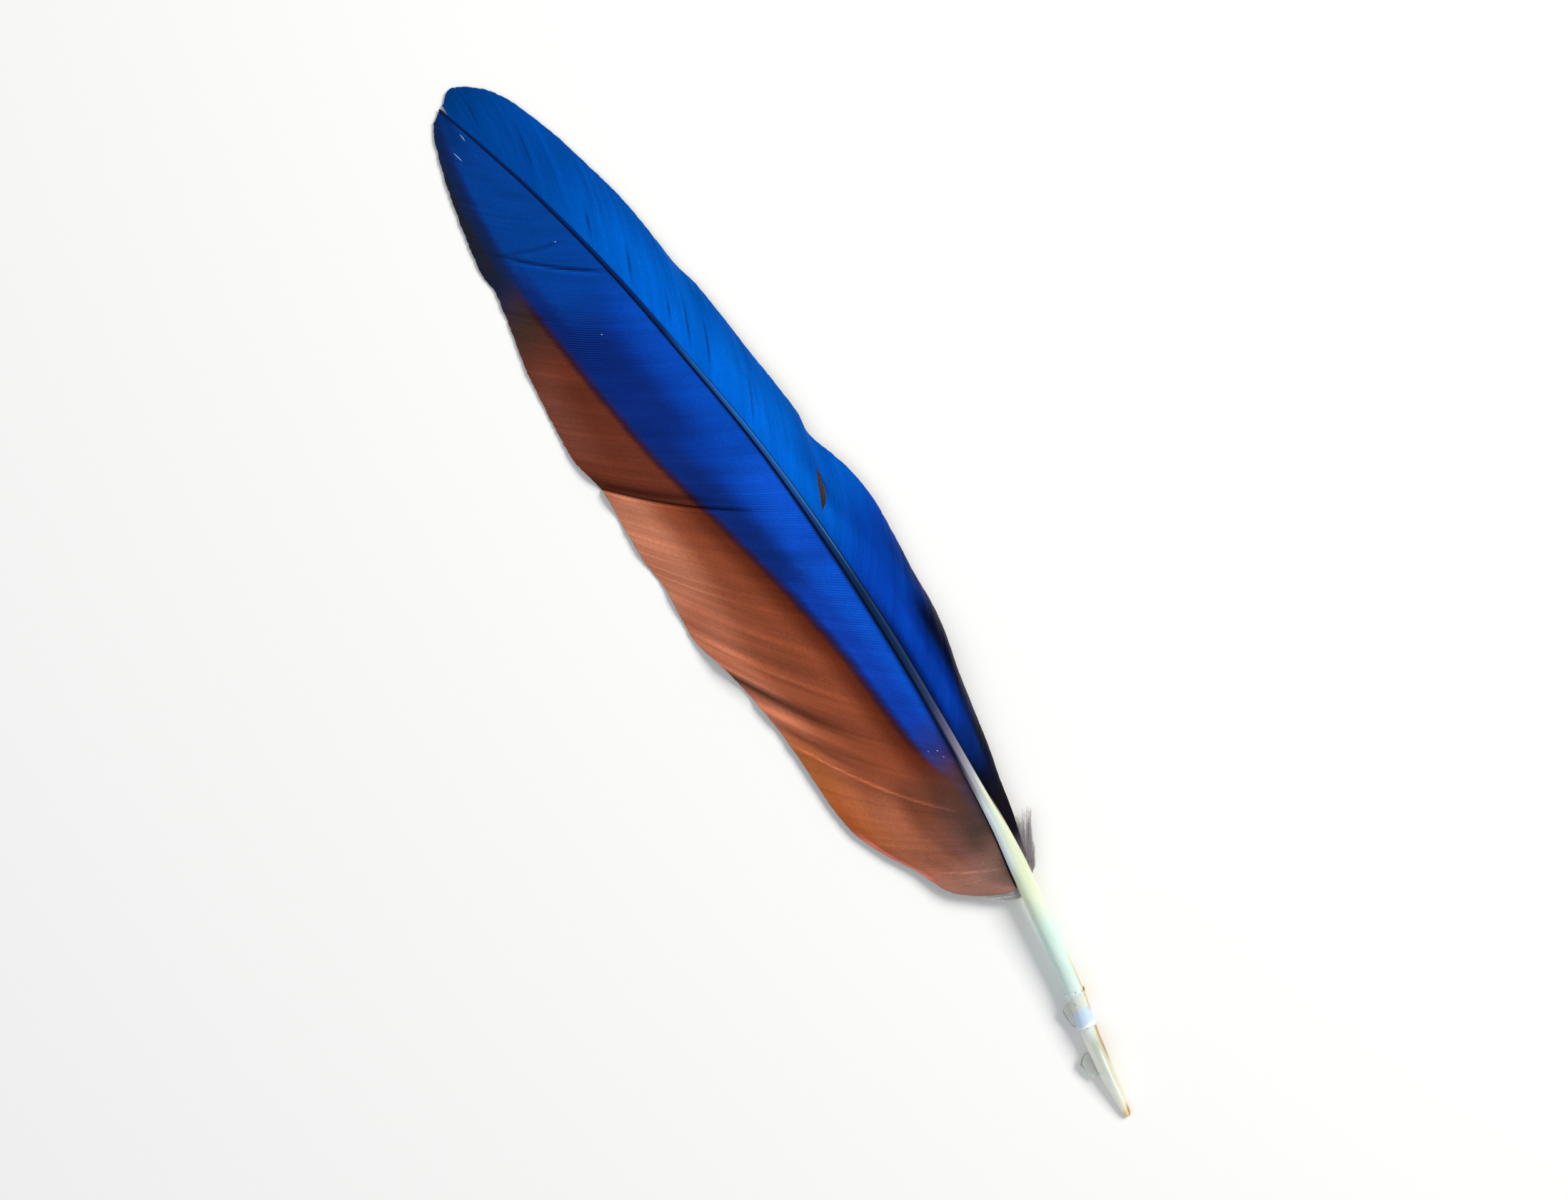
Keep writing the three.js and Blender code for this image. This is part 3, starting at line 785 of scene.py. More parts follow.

# %% [markdown]
# ## Splits
# The hooks between two barbs let go here and there. One gap in the outer vane is wide open, and ten are
# hairlines. A black line painted on the vane would look like one from straight above. Here the barbs on
# either side do step apart, so each split is an opening from any side. A hairline is given by the two
# points where it starts and ends on the feather. It is so narrow that light seldom shows it, so the barbs
# beside it get painted shade as well.

# %% Gaps in the vanes
# opens: how far the barbs before and after the gap step back, in millimetres along the shaft
# spread: how far along the shaft the barbs still give way
# skew: how much wider the gap is towards the edge than towards the shaft
WIDE_GAP = {"root": 145.8, "middle": 0.355, "reach": 0.19, "opens": (2.5, 0.5), "spread": 5.0, "skew": 0.55}
HAIRLINE = {"opens": (0.09, 0.09), "spread": 2.2, "skew": 0.0}
# painted shade beside each hairline
HAIRLINE_PAINTED_SHADE = (0.4, -0.5)  # half width, and how much lighter: below 0, so darker
# ((across, along) where it starts, (across, along) where it ends)
OUTER_HAIRLINES = [
    ((17.0, 197.0), (20.0, 205.5)), ((18.0, 190.5), (21.2, 199.5)), ((14.5, 216.5), (16.6, 223.0)),
    ((19.0, 175.0), (22.5, 183.5)), ((10.4, 250.0), (11.2, 260.0)),
    ((5.5, 265.0), (6.2, 270.0)), ((12.5, 230.0), (14.0, 234.5)), ((16.5, 204.0), (18.2, 208.5)),
]
INNER_HAIRLINES = [
    ((8.0, 223.0), (-1.5, 231.5)), ((1.5, 262.0), (-0.6, 267.0)),
]


def gap_between(form, edge, start, end):
    """The gap along the barb that passes nearest to both points."""
    root_steps, share_steps = 1500, 200
    roots = np.linspace(edge[0][0], edge[-1][0], root_steps)[:, None]
    shares = np.linspace(0.02, 1, share_steps)
    level = form(roots, shares)[..., :2]
    apart = [np.linalg.norm(level - point, axis=-1) for point in (start, end)]
    nearest = int(np.argmin(apart[0].min(1) + apart[1].min(1)))
    first, last = sorted(float(shares[int(np.argmin(a[nearest]))]) for a in apart)
    root = float(roots[nearest, 0])
    return {"root": root, "middle": (first + last) / 2, "reach": (last - first) / 2, **HAIRLINE}


def painted_shade_beside(gap):
    """The painted shade that darkens the barbs beside a hairline, in the order of the marks above."""
    first, last = gap["middle"] - gap["reach"], gap["middle"] + gap["reach"]
    return [gap["root"], gap["root"], first, last, *HAIRLINE_PAINTED_SHADE]


outer_hairlines = [gap_between(outer_form, OUTER_EDGE, *ends) for ends in OUTER_HAIRLINES]
outer_gaps = [WIDE_GAP] + outer_hairlines
inner_gaps = [gap_between(inner_form, INNER_EDGE, *ends) for ends in INNER_HAIRLINES]
# painted shade beside each hairline of the outer vane
hairline_painted_shade = [painted_shade_beside(gap) for gap in outer_hairlines]
print("gaps at roots:", [round(gap["root"], 1) for gap in outer_gaps + inner_gaps])

# %% [markdown]
# ## Where the lines show
# A vane doesn't look lined all over. Where its barbs cling flat it looks like cloth, and where they have
# dried a little apart each one stands out as a ridge. So every point gets a number for how much the ridges
# stand out: chance makes it drift over the vane, and a list of spots adds to it where this feather is
# plainly lined or plainly smooth.

# %% Patches of standing ridges
STANDS_LEAST, STANDS_MORE = 0.16, 0.54  # where chance says none, and what it adds at most
LEAST_STANDING = 0.08  # wherever the spots take more away
# [across, along, half width, half length, how much more the ridges stand out there]
LINED_SPOTS = [
    [-2.0, 212, 6, 9, 1.3], [11.5, 122, 3, 14, 0.35], [9.5, 160, 5, 10, 0.25], [-13.0, 150, 6, 12, 0.3],
    [20.5, 138, 4, 12, 0.45], [19.5, 112, 4, 9, 0.5], [12.5, 100, 4, 8, 0.4], [2.0, 62, 14, 15, -0.5],
    [14.0, 248, 9, 30, -0.4], [-13.0, 118, 5, 20, -0.35], [-1.0, 127, 5, 6, 0.5], [22.0, 180, 5, 22, -0.2],
    [-2.0, 86, 16, 18, -0.25],
]


def patchy(chance, count, coarse=(46, 5)):
    """Values from 0 to 1 for each barb and share that drift slowly from place to place."""
    grid = chance.uniform(size=coarse)
    by_share = np.array([np.interp(SHARES * (coarse[1] - 1), np.arange(coarse[1]), row) for row in grid])
    place = np.linspace(0, coarse[0] - 1, count)
    return np.array([np.interp(place, np.arange(coarse[0]), column) for column in by_share.T]).T


def standing(lines, chance):
    """How much the ridge stands out at each point of the barbs' middle lines."""
    stands = STANDS_LEAST + STANDS_MORE * patchy(chance, len(lines))
    for across, along, half_width, half_length, more in LINED_SPOTS:
        stands += more * bell(lines[..., 0] - across, half_width) * bell(lines[..., 1] - along, half_length)
    return np.maximum(stands, LEAST_STANDING)


print("spots that are plainly lined or smooth:", len(LINED_SPOTS))

# %% [markdown]
# ## Opening the gaps
# Each gap has the form of a lens along its barb. The barbs before it step back towards the quill and those
# after it step on towards the tip, the nearest ones most, and all of them sink a little as they lose their
# hold. The wide strips of the two barbs right beside the gap must not reach across it, so these two are as
# narrow on that side as they are on the other.

# %% Barbs that step apart
DIPS_AT_GAP = 0.2  # how far a barb sinks, as a share of its step
OVERLAP = 1.05  # of the half way to the neighbour


def open_gaps(lines, roots, gaps):
    """Moves the barbs' lines apart at each gap, and lists the last barb before each."""
    forward = shaft_at(roots)[1][:, None]
    parted = []
    for gap in gaps:
        after = int(np.searchsorted(roots, gap["root"]))
        parted.append(after - 1)
        step = np.where(np.arange(len(roots)) < after, -gap["opens"][0], gap["opens"][1])[:, None]
        near = bell(roots - gap["root"], gap["spread"])[:, None]
        beyond = (SHARES - gap["middle"]) / gap["reach"]
        lens = np.clip(1 - beyond**2, 0, 1) * (1 + gap["skew"] * beyond)
        opened = step * lens[None] * near
        lines[..., :2] += forward * opened[..., None]
        lines[..., 2] -= DIPS_AT_GAP * np.abs(opened)
    return parted


def half_ways(lines, parted):
    """From each barb's line halfway to the next one and halfway to the last one."""
    half = 0.5 * OVERLAP * np.diff(lines, axis=0)
    to_next = np.concatenate([half, half[-1:]])
    to_last = np.concatenate([half[:1], half])
    for before in parted:
        to_next[before] = to_last[before]
        to_last[before + 1] = to_next[before + 1]
    return to_next, to_last


print("each barb's strip reaches", OVERLAP, "times halfway to the next barb")

# %% [markdown]
# ## Where the colours lie
# The colours of a feather follow their own map. The outer vane is blue right across. On the inner vane the
# blue ends in a line that runs nearly along the shaft, and beyond it the barbs are brown, with a little
# purple where the two meet. The mesh can't hold colours from a picture, and needs none: a few numbers on
# each point are enough for a material to lay its colours by. They are how far along the point is, what
# share of its barb it is at, how far it is from the side of the shaft, and how many millimetres it lies to
# the right of the line where the blue ends.

# %% The line where the blue ends
# [along, across]
BLUE_ENDS = [
    [60, 13.0], [82, 10.4], [90, 8.5], [100, 7.5], [120, 6.5], [140, 4.0], [160, 0.5], [180, -3.3],
    [200, -5.5], [220, -7.0], [230, -8.0], [250, -6.5], [264, -4.0], [272, -2.0],
]
BORDER_JITTER = 0.3  # millimetres from barb to barb, where one colour meets the next
blue_ends = profile(BLUE_ENDS)
print("the blue ends, mm across at 100, 180 and 250:", blue_ends([100, 180, 250]).round(1))

# %% [markdown]
# ## From lines to barbs
# Each barb is a strip with a four-sided section: a ridge on top, a keel below, and two thin sides that
# reach halfway to the neighbours. So the strips close up to a sheet however much they fan out, and light
# still finds each ridge. Real barbs aren't all alike, so each gets a little of its own height and length
# from a seeded random generator. The last stretch tapers, which gives the vane its soft edge.

# %% Grow the barbs
RIDGE_AT_SHAFT, RIDGE_AT_TIP = 0.09, 0.035  # millimetres
RIDGE_ANYWAY = 0.35  # share of that height where the ridges don't stand out
TAPER_LEAST, TAPER_MOST = 0.15, 0.5  # millimetres at the tip of a barb
TIP_SHARE = 0.86  # of its width that is left at the very tip
LOCK_BARBS = 13  # neighbouring barbs that vary together
LENGTH_OWN, LENGTH_SHARED = 0.05, 0.1  # millimetres by which a barb and its neighbours vary in length
HEIGHT_VARIES = 0.02  # millimetres, for a barb and for its neighbours
SETTLES = (0.05, 0.5)  # shares of a barb between which its own height sets in


def barb_rings(form, roots, folds, marks, gaps, seed):
    """Rings of four points for each barb of a vane, and the numbers that its material reads there."""
    chance = np.random.default_rng(seed)
    count = len(roots)
    neighbours = np.ones(LOCK_BARBS) / LOCK_BARBS**0.5
    shared = np.convolve(chance.normal(size=count + LOCK_BARBS - 1), neighbours, "valid")
    past = LENGTH_OWN * chance.normal(size=count) + LENGTH_SHARED * shared
    lines = form(roots[:, None], SHARES[None, :], past[:, None])
    lines[..., 2] += along_barbs(roots, folds)
    parted = open_gaps(lines, roots, gaps)
    bumpy = HEIGHT_VARIES * chance.normal(size=count) + HEIGHT_VARIES * shared
    lines[..., 2] += bumpy[:, None] * smoothstep(SHARES, *SETTLES)
    to_next, to_last = half_ways(lines, parted)
    stretch = np.linalg.norm(np.diff(lines, axis=1), axis=-1)
    from_root = np.concatenate([np.zeros((count, 1)), np.cumsum(stretch, axis=1)], axis=1)
    to_tip = from_root[:, -1:] - from_root
    left = np.clip(to_tip / chance.uniform(TAPER_LEAST, TAPER_MOST, size=(count, 1)), 0, 1)
    taper = np.clip(np.sqrt(1 - (1 - left) ** 2), TIP_SHARE, 1)[..., None]
    stands = standing(lines, chance)
    tall = (RIDGE_AT_SHAFT + (RIDGE_AT_TIP - RIDGE_AT_SHAFT) * SHARES) * (RIDGE_ANYWAY + stands)
    ridge = tall[..., None] * taper * (0, 0, 1.0)
    rings = np.stack([lines + to_next * taper, lines + ridge, lines - to_last * taper, lines - ridge], 2)
    own = chance.uniform(size=(count, 1, 1))
    return rings, {
        "along": rings[..., 1],
        "root": roots[:, None, None],
        "share": SHARES[None, :, None],
        "off_shaft": (from_root - 0.5 * shaft_width(roots)[:, None])[..., None],
        "past_blue": rings[..., 0] - blue_ends(rings[..., 1]) + BORDER_JITTER * (own - 0.5),
        "ridge": np.array([0.0, 1.0, 0.0, 1.0]),
        "below": np.array([0.5, 0.0, 0.5, 1.0]),
        "own": own,
        # painted light and shade along the folds, from the marks
        "painted_fold_light": along_barbs(roots, marks)[..., None],
        "stands": stands[..., None],
    }


inner_rings, inner_numbers = barb_rings(
    inner_form, inner_roots, INNER_FOLDS, INNER_PAINTED_LIGHT_AND_SHADE, inner_gaps, seed=11)
outer_rings, outer_numbers = barb_rings(
    outer_form, outer_roots, OUTER_FOLDS, OUTER_PAINTED_LIGHT_AND_SHADE + hairline_painted_shade, outer_gaps, seed=12)
print("inner vane from", inner_rings.min((0, 1, 2)).round(1), "to", inner_rings.max((0, 1, 2)).round(1))
print("numbers on each point:", ", ".join(inner_numbers))

# %% [markdown]
# ## The colours of the outer vane
# The blue isn't a dye: air pockets in the barbs scatter blue light over a dark pigment, so it is deep and
# even from all sides. Each colour is laid over the last where it belongs. The first rows give the lighter
# middle of the vane, the next its deeper blue towards the quill, and the last the grey-brown foot. Between
# them, rows of painted shade make the edge navy to near black where it turns down away from the light, and
# one row paints shade on the roots beside the shaft.

# %% Colours of the outer vane
OUTER_BLUE = "#0059bd"
# (colour, its edges)
OUTER_LAYERS = [
    ("#004ba2", ("share", 0.3, 0.9)),
    ("#005fcc", ("share", 0.52, 0.12), ("along", 150, 168), ("along", 230, 204)),
    ("#004ba8", ("along", 172, 160), ("share", 0.2, 0.5)),
    ("#014397", ("along", 222, 252)),
    ("#053fae", ("along", 154, 132)),
    ("#023798", ("share", 0.25, 0.5), ("along", 154, 138)),
    ("#022a72", ("share", 0.5, 0.75), ("along", 148, 130)),
    # painted shade: the edge goes near black where it folds down away from the light
    ("#0d1130", ("share", 0.78, 0.95), ("along", 138, 124)),
    ("#0739a0", ("along", 126, 108)),
    # painted shade: these three rows darken the turned-down edge step by step to near black
    ("#042a82", ("along", 130, 116), ("share", 0.28, 0.42)),
    ("#021c58", ("along", 126, 112), ("share", 0.38, 0.54)),
    ("#010522", ("along", 128, 116), ("share", 0.46, 0.62)),
    # painted shade beside the shaft, on the roots of the barbs
    ("#041a60", ("share", 0.18, 0.05), ("along", 140, 114)),
    ("#08266c", ("along", 100, 90)),
    # painted shade: this row and the next darken the edge where it droops furthest
    ("#02123a", ("along", 98, 88), ("share", 0.38, 0.58)),
    ("#02040f", ("along", 100, 90), ("share", 0.44, 0.64)),
    ("#080c1e", ("along", 92, 80)),
    ("#120c0d", ("along", 84, 74)),
    ("#5a525a", ("along", 68, 61)),
    ("#013a7e", ("along", 258, 276)),
]
print("colour layers on the outer vane:", len(OUTER_LAYERS))

# %% [markdown]
# ## The colours of the inner vane
# The brown is pigment alone. It comes first, from the edge inwards, then the purple where brown and blue
# meet, then the blue beside the shaft, by the millimetres past the line where it ends. The last rows are
# for the foot, where the blue gives out, and for the thin coral line on the lowest stretch of the edge,
# which is painted light: the glow of light shining through the thin edge.

# %% Colours of the inner vane
INNER_BROWN = "#8f4a30"
# (colour, its edges)
INNER_LAYERS = [
    ("#a35a3e", ("share", 0.5, 0.85)),
    ("#c97e60", ("share", 0.6, 0.85), ("along", 140, 154), ("along", 184, 176)),
    ("#c47558", ("share", 0.66, 0.86), ("along", 104, 118), ("along", 152, 140)),
    ("#ab6034", ("share", 0.74, 0.92), ("along", 120, 104)),
    ("#924a30", ("past_blue", -12.0, -5.0)),
    ("#642a16", ("past_blue", -7.0, -1.8)),
    ("#6d3322", ("root", 151.6, 153.0), ("along", 236, 212)),
    ("#7d4536", ("share", 0.72, 0.95), ("root", 160, 172), ("along", 216, 206)),
    ("#463029", ("along", 208, 222)),
    ("#1b1f2c", ("along", 227, 240)),
    ("#3a1a22", ("past_blue", -2.2, -0.6), ("along", 84, 100), ("along", 232, 218)),
    ("#2d1c46", ("past_blue", -1.2, -0.2), ("along", 100, 110), ("along", 232, 218)),
    ("#0a2a76", ("past_blue", -0.8, 0.9)),
    ("#0e3fae", ("past_blue", 0.0, 1.5), ("along", 146, 134)),
    ("#05379a", ("past_blue", 3.0, 8.5), ("along", 136, 150)),
    ("#082a7a", ("past_blue", 13.5, 7.5), ("past_blue", 0.0, 2.0), ("along", 176, 186), ("along", 224, 210)),
    ("#0a50c6", ("past_blue", 3.0, 7.5), ("along", 150, 136)),
    ("#0b51ca", ("past_blue", 3.0, 8.0), ("share", 0.36, 0.1), ("along", 140, 150), ("along", 176, 164)),
    ("#0448b4", ("past_blue", 3.0, 8.0), ("share", 0.3, 0.06), ("along", 164, 176), ("along", 236, 206)),
    ("#023f98", ("past_blue", 2.0, 5.0), ("along", 206, 226)),
    ("#023e90", ("past_blue", 0.2, 2.4), ("along", 224, 238)),
    ("#022c68", ("past_blue", -2.0, 4.0), ("along", 254, 270), ("share", 0.2, 0.7)),
    ("#0f2552", ("past_blue", 2.2, -0.5), ("along", 220, 236)),
    ("#1f2231", ("past_blue", -0.5, -2.6), ("along", 226, 237)),
    ("#2c347a", ("past_blue", -0.5, 1.0), ("along", 102, 90)),
    ("#5c382d", ("along", 94, 82)),
    ("#7b432f", ("along", 94, 82), ("share", 0.24, 0.36)),
    ("#ae6446", ("along", 98, 84), ("share", 0.42, 0.58)),
    ("#b2643c", ("along", 104, 92), ("share", 0.66, 0.8)),
    ("#aa582d", ("along", 104, 92), ("share", 0.82, 0.94)),
    ("#46384a", ("along", 90, 80), ("share", 0.16, 0.04)),
    ("#945a45", ("along", 84, 70), ("share", 0.34, 0.5)),
    ("#b26c52", ("along", 84, 70), ("share", 0.64, 0.86)),
    ("#794e45", ("along", 84, 70), ("share", 0.52, 0.3), ("share", 0.12, 0.26)),
    ("#4c3a34", ("along", 84, 70), ("share", 0.36, 0.14)),
    ("#a27467", ("along", 72, 60)),
    ("#7e6056", ("along", 69, 60), ("share", 0.5, 0.24)),
    ("#55443a", ("along", 69, 60), ("share", 0.26, 0.08)),
    # painted light: the glow of light through the thin lowest stretch of the edge
    ("#e27a68", ("along", 66, 71), ("along", 88, 82), ("share", 0.915, 0.965)),
]
print("colour layers on the inner vane:", len(INNER_LAYERS))

# %% [markdown]
# ## The underside, and the roots of the barbs
# The blue is on the upper side only. Below, such a feather is a dull red-brown, greyer towards the edge and
# the tip. It could be a material of its own, but the keel of each barb already says that it is below, so it
# is a few more layers. Right beside the shaft the barbs rise out of it, and the shade between them is
# painted on as a fine dark line of painted shade.

# %% Layers for both vanes
# painted shade beside the shaft: how far it reaches along each barb
PAINTED_SHADE_BASE = 0.22  # millimetres of each barb next to the shaft
RIDGE_CLEARS = 0.35  # millimetres by which its ridge comes out of the dark sooner
# (colour, its edges)
UNDERSIDE = [
    ("#7c3a26", ("below", 0.5, 0.75)),
    ("#96492c", ("below", 0.5, 0.75), ("share", 0.3, 0.8)),
    ("#59504f", ("below", 0.5, 0.75), ("share", 0.8, 1.0)),
    ("#3c3b42", ("below", 0.5, 0.75), ("along", 215, 255)),
]
# painted shade between the barbs' roots beside the shaft, and of the shaft near the foot
ROOTS_PAINTED_SHADE = [
    ("#020a20", ("reach", PAINTED_SHADE_BASE + 0.3, PAINTED_SHADE_BASE - 0.15), ("along", 62, 74), ("below", 0.75, 0.55)),
    ("#0b1322", ("off_shaft", 0.6, 0.25), ("along", 54, 58), ("along", 104, 92), ("below", 0.75, 0.55)),
]
print("layers for the underside:", len(UNDERSIDE), "and for the roots:", len(ROOTS_PAINTED_SHADE))

# %% [markdown]
# ## Barbules and locks
# Two patterns lie over the colours. The barbules are the tiny hooked hairs on every barb. They are 0.03 mm
# apart, too fine to show, so they are drawn ten times as coarse, as a faint twill that differs from barb to
# barb. The locks are a few millimetres of barbs that cling together, and each is a touch lighter or darker
# than the next. Both are noise that is read in the barbs' own directions, so it bends with them.

# %% Patterns along and across the barbs
BARBULE_STEP = 0.3  # millimetres along a barb
BARB_APART = 50.0  # how far apart in the noise two barbs are, so that no two are alike
LOCK_WIDTH = 3.0  # millimetres along the shaft
LOCK_CHANGES = 1.6  # times that a lock changes on its way to the edge


def pattern(tree, first, second, scales, detail):
    """Noise over two of the mesh's numbers, each times its scale."""
    place = add(tree, "ShaderNodeCombineXYZ", {0: first, 1: second}).outputs[0]
    scaled = add(tree, "ShaderNodeVectorMath", {
        0: place, 1: (*scales, 0.0)}, operation="MULTIPLY").outputs[0]
    return add(tree, "ShaderNodeTexNoise", {"Vector": scaled, "Scale": 1.0, "Detail": detail}).outputs[0]


def add_patterns(tree, measure):
    """Adds the twill of the barbules and the patches of the locks to what the material can measure."""
    measure["twill"] = pattern(
        tree, measure["off_shaft"], measure["own"], (1 / BARBULE_STEP, BARB_APART), detail=1.0)
    measure["lock"] = pattern(
        tree, measure["root"], measure["share"], (1 / LOCK_WIDTH, LOCK_CHANGES), detail=3.0)


print("barbules, mm apart:", BARBULE_STEP, "and locks:", LOCK_WIDTH)

# %% [markdown]
# ## Lighter and darker barbs
# From close by a vane is lined: the crest of each barb is painted lighter than the valley beside it, as
# painted highlight and painted shade. The more the ridges stand out at a place, the stronger that is. The
# folds add their painted light and shade by their marks, and each barb, barbule and lock differs a little.
# All of it is one factor, by which the colour is multiplied.

# %% Brightness of a barb
# painted shade in the valleys and painted highlight on the crests
VALLEY_PAINTED_SHADE, CREST_PAINTED_HIGHLIGHT = 0.62, 1.12  # brightness where the ridges stand out fully
# (what differs, from, to, darkest, lightest)
UNEVEN = [
    ("own", 0, 1, 0.96, 1.04),
    ("twill", 0.25, 0.75, 0.86, 1.14),
    ("lock", 0.3, 0.7, 0.88, 1.1),
]


def barb_tone_and_painted_light(tree, measure):
    """How many times its colour's brightness each point of a barb has, painted light and shade included."""
    # painted shade in the valleys, painted highlight on the crests
    valley_shade, crest_highlight = (
        add(tree, "ShaderNodeMapRange", {"Value": measure["stands"], "To Min": 1.0, "To Max": full},
            clamp=False).outputs[0] for full in (VALLEY_PAINTED_SHADE, CREST_PAINTED_HIGHLIGHT))
    brightness = add(tree, "ShaderNodeMapRange", {
        "Value": measure["ridge"], "To Min": valley_shade, "To Max": crest_highlight}).outputs[0]
    # painted light and shade along the folds
    painted_fold_light = add(tree, "ShaderNodeMath", {0: measure["painted_fold_light"], 1: 1.0}, operation="ADD").outputs[0]
    factors = [painted_fold_light]
    for key, low, high, darkest, lightest in UNEVEN:
        factors.append(add(tree, "ShaderNodeMapRange", {
            "Value": measure[key], "From Min": low, "From Max": high,
            "To Min": darkest, "To Max": lightest}).outputs[0])
    for factor in factors:
        brightness = add(tree, "ShaderNodeMath", {0: brightness, 1: factor}, operation="MULTIPLY").outputs[0]
    return brightness


print("brightness from valley to crest:", VALLEY_PAINTED_SHADE, "to", CREST_PAINTED_HIGHLIGHT)

# %% [markdown]
# ## The finish of the vanes
# Barbs are keratin like the shaft, but rough with barbules, so the sheet has a satin finish with no clear
# reflection: roughness 0.48 and little specular light, which is bluish on the blue vane and grey on the
# brown one. The barbules stand out 0.04 mm, as a bump. The ridges of the barbs need none, because they are
# in the mesh.

# %% Keratin of the vanes
VANE_ROUGHNESS = 0.48
BARBULE_DEPTH = 0.04 * MM


def vane_material(name, base, layers, sheen, sheen_colour):
    """Satin keratin with colour layers laid over a base, and a sheen of that strength and colour."""
    material, tree, measure = new_material(name, inner_numbers)
    measure["reach"] = add(tree, "ShaderNodeMath", {
        0: measure["ridge"], 1: RIDGE_CLEARS, 2: measure["off_shaft"]}, operation="MULTIPLY_ADD").outputs[0]
    add_patterns(tree, measure)
    # the roots take their painted shade last
    tone = lay(tree, linear(base), measure, layers + UNDERSIDE + ROOTS_PAINTED_SHADE)
    brightness = barb_tone_and_painted_light(tree, measure)
    tone = add(tree, "ShaderNodeHueSaturation", {"Value": brightness, "Color": tone}).outputs[0]
    bump = add(tree, "ShaderNodeBump", {
        "Height": measure["twill"], "Strength": 0.25, "Distance": BARBULE_DEPTH}).outputs[0]
    surface = add(tree, "ShaderNodeBsdfPrincipled", {
        "Base Color": tone, "Roughness": VANE_ROUGHNESS, "IOR": KERATIN_IOR, "Normal": bump,
        "Specular IOR Level": sheen, "Specular Tint": linear(sheen_colour),
    })
    add(tree, "ShaderNodeOutputMaterial", {"Surface": surface.outputs[0]})
    return material


outer_keratin = vane_material("blue_vane_keratin", OUTER_BLUE, OUTER_LAYERS, 0.05, "#3f78d8")
inner_keratin = vane_material("brown_and_blue_vane_keratin", INNER_BROWN, INNER_LAYERS, 0.08, "#9a8a98")
print("materials of the vanes:", outer_keratin.name, inner_keratin.name)

# %% [markdown]
# ## The vanes as meshes
# Seven hundred barbs could be seven hundred objects, but Blender slows down with objects, not with
# triangles. So each vane is one mesh with all its barbs. The two thin sides of every barb are marked as
# sharp: there the shading breaks from the lit top to the dark underside, instead of smearing round an edge
# that is thinner than a hair.

# %% Mesh of the vanes
SIDE_EDGES = [0, 2]  # of a barb's four: side, ridge, side, keel
make_piece("inner_vane", inner_rings, inner_keratin, inner_numbers, SIDE_EDGES)
make_piece("outer_vane", outer_rings, outer_keratin, outer_numbers, SIDE_EDGES)

# %% [markdown]
# ## The sheath's remains
# A growing feather is wrapped in a sheath, which dries and flakes off. A sleeve of it is still round this
# quill, with a ragged rim at both ends. A swollen ring on the quill would show the place but not the torn
# edge, so it is a thin film of its own, bent round the quill until its sides almost meet below.

# %% The sleeve round the quill
# off: how far its outside stands off the quill; lip: how much further at the two rims
SLEEVE = {"from": 22.0, "to": 30.3, "off": 0.13, "thick": 0.07, "lip": 0.16, "lip_half": 0.5}
RAGGED = (0.1, 0.32)  # millimetres, at the rim near the quill's end and at the other
SLEEVE_STEPS, SLEEVE_STATIONS = 96, 26  # round the quill and along it
SLIT_BELOW = 0.12  # radians left open on either side of the lowest line

chance = np.random.default_rng(21)
angle = np.linspace(-np.pi / 2 + SLIT_BELOW, 1.5 * np.pi - SLIT_BELOW, SLEEVE_STEPS)
ragged_from, ragged_to = (
    np.convolve(chance.normal(size=SLEEVE_STEPS + 2), np.ones(3) / 3, "valid") for _ in range(2))
share = np.linspace(0, 1, SLEEVE_STATIONS)
first = SLEEVE["from"] + RAGGED[0] * ragged_from
last = SLEEVE["to"] + RAGGED[1] * ragged_to
station = first[:, None] + (last - first)[:, None] * share
lip = SLEEVE["lip"] * sum(bell(station - SLEEVE[rim], SLEEVE["lip_half"]) for rim in ("from", "to"))
middle, forward, right = shaft_at(station)
swell = sheath_swell(station)
skins = []
for off in (SLEEVE["off"], SLEEVE["off"] - SLEEVE["thick"]):
    wide = (0.5 * shaft_width(station) * swell + off + lip) * np.cos(angle)[:, None]
    high = (0.5 * shaft_depth(station) * swell + off + lip) * np.sin(angle)[:, None]
    skins.append(middle + np.concatenate([right * wide[..., None], high[..., None]], -1))
sleeve_rings = np.concatenate([skins[0], skins[1][:, ::-1]], 1)[None]
print("sleeve, mm long:", round(float((last - first).mean()), 1))

# %% [markdown]
# ## Dry sheath
# Dried sheath is thin clear keratin that has gone milky, with dirt where it lifts. It looks bluish over the
# quill, amber where it is thick on the right, and the torn rims catch the light. It could be see-through,
# but the quill that it hugs is nearly as pale as the film itself, so it is drawn opaque, with a little
# subsurface for the milkiness.

# %% Keratin of the sleeve
MILKY_SHEATH = "#d3e2e4"
# (colour, its edges)
SHEATH_LAYERS = [
    ("#c9dff8", ("along", 27.2, 25.6), ("along", 22.6, 23.4)),
    ("#dde2d6", ("along", 25.8, 27.2)),
    ("#b4b9a6", ("dirt", 0.5, 0.75), ("along", 24.0, 27.0)),
    ("#d0b181", ("turned", 0.66, 0.95), ("along", 23.5, 26.5)),
    ("#f6fcfc", ("along", 23.0, 22.4), ("turned", 0.9, 0.5)),
    ("#d9f4f1", ("along", 29.1, 29.7), ("turned", 0.8, 0.5)),
    ("#b08a50", ("turned", 0.55, 0.8), ("along", 28.9, 29.6)),
]
DIRT_SIZE = 0.8  # millimetres across a spot of dirt
SHEATH_CREASES = 0.08 * MM  # how deep the dry film is creased

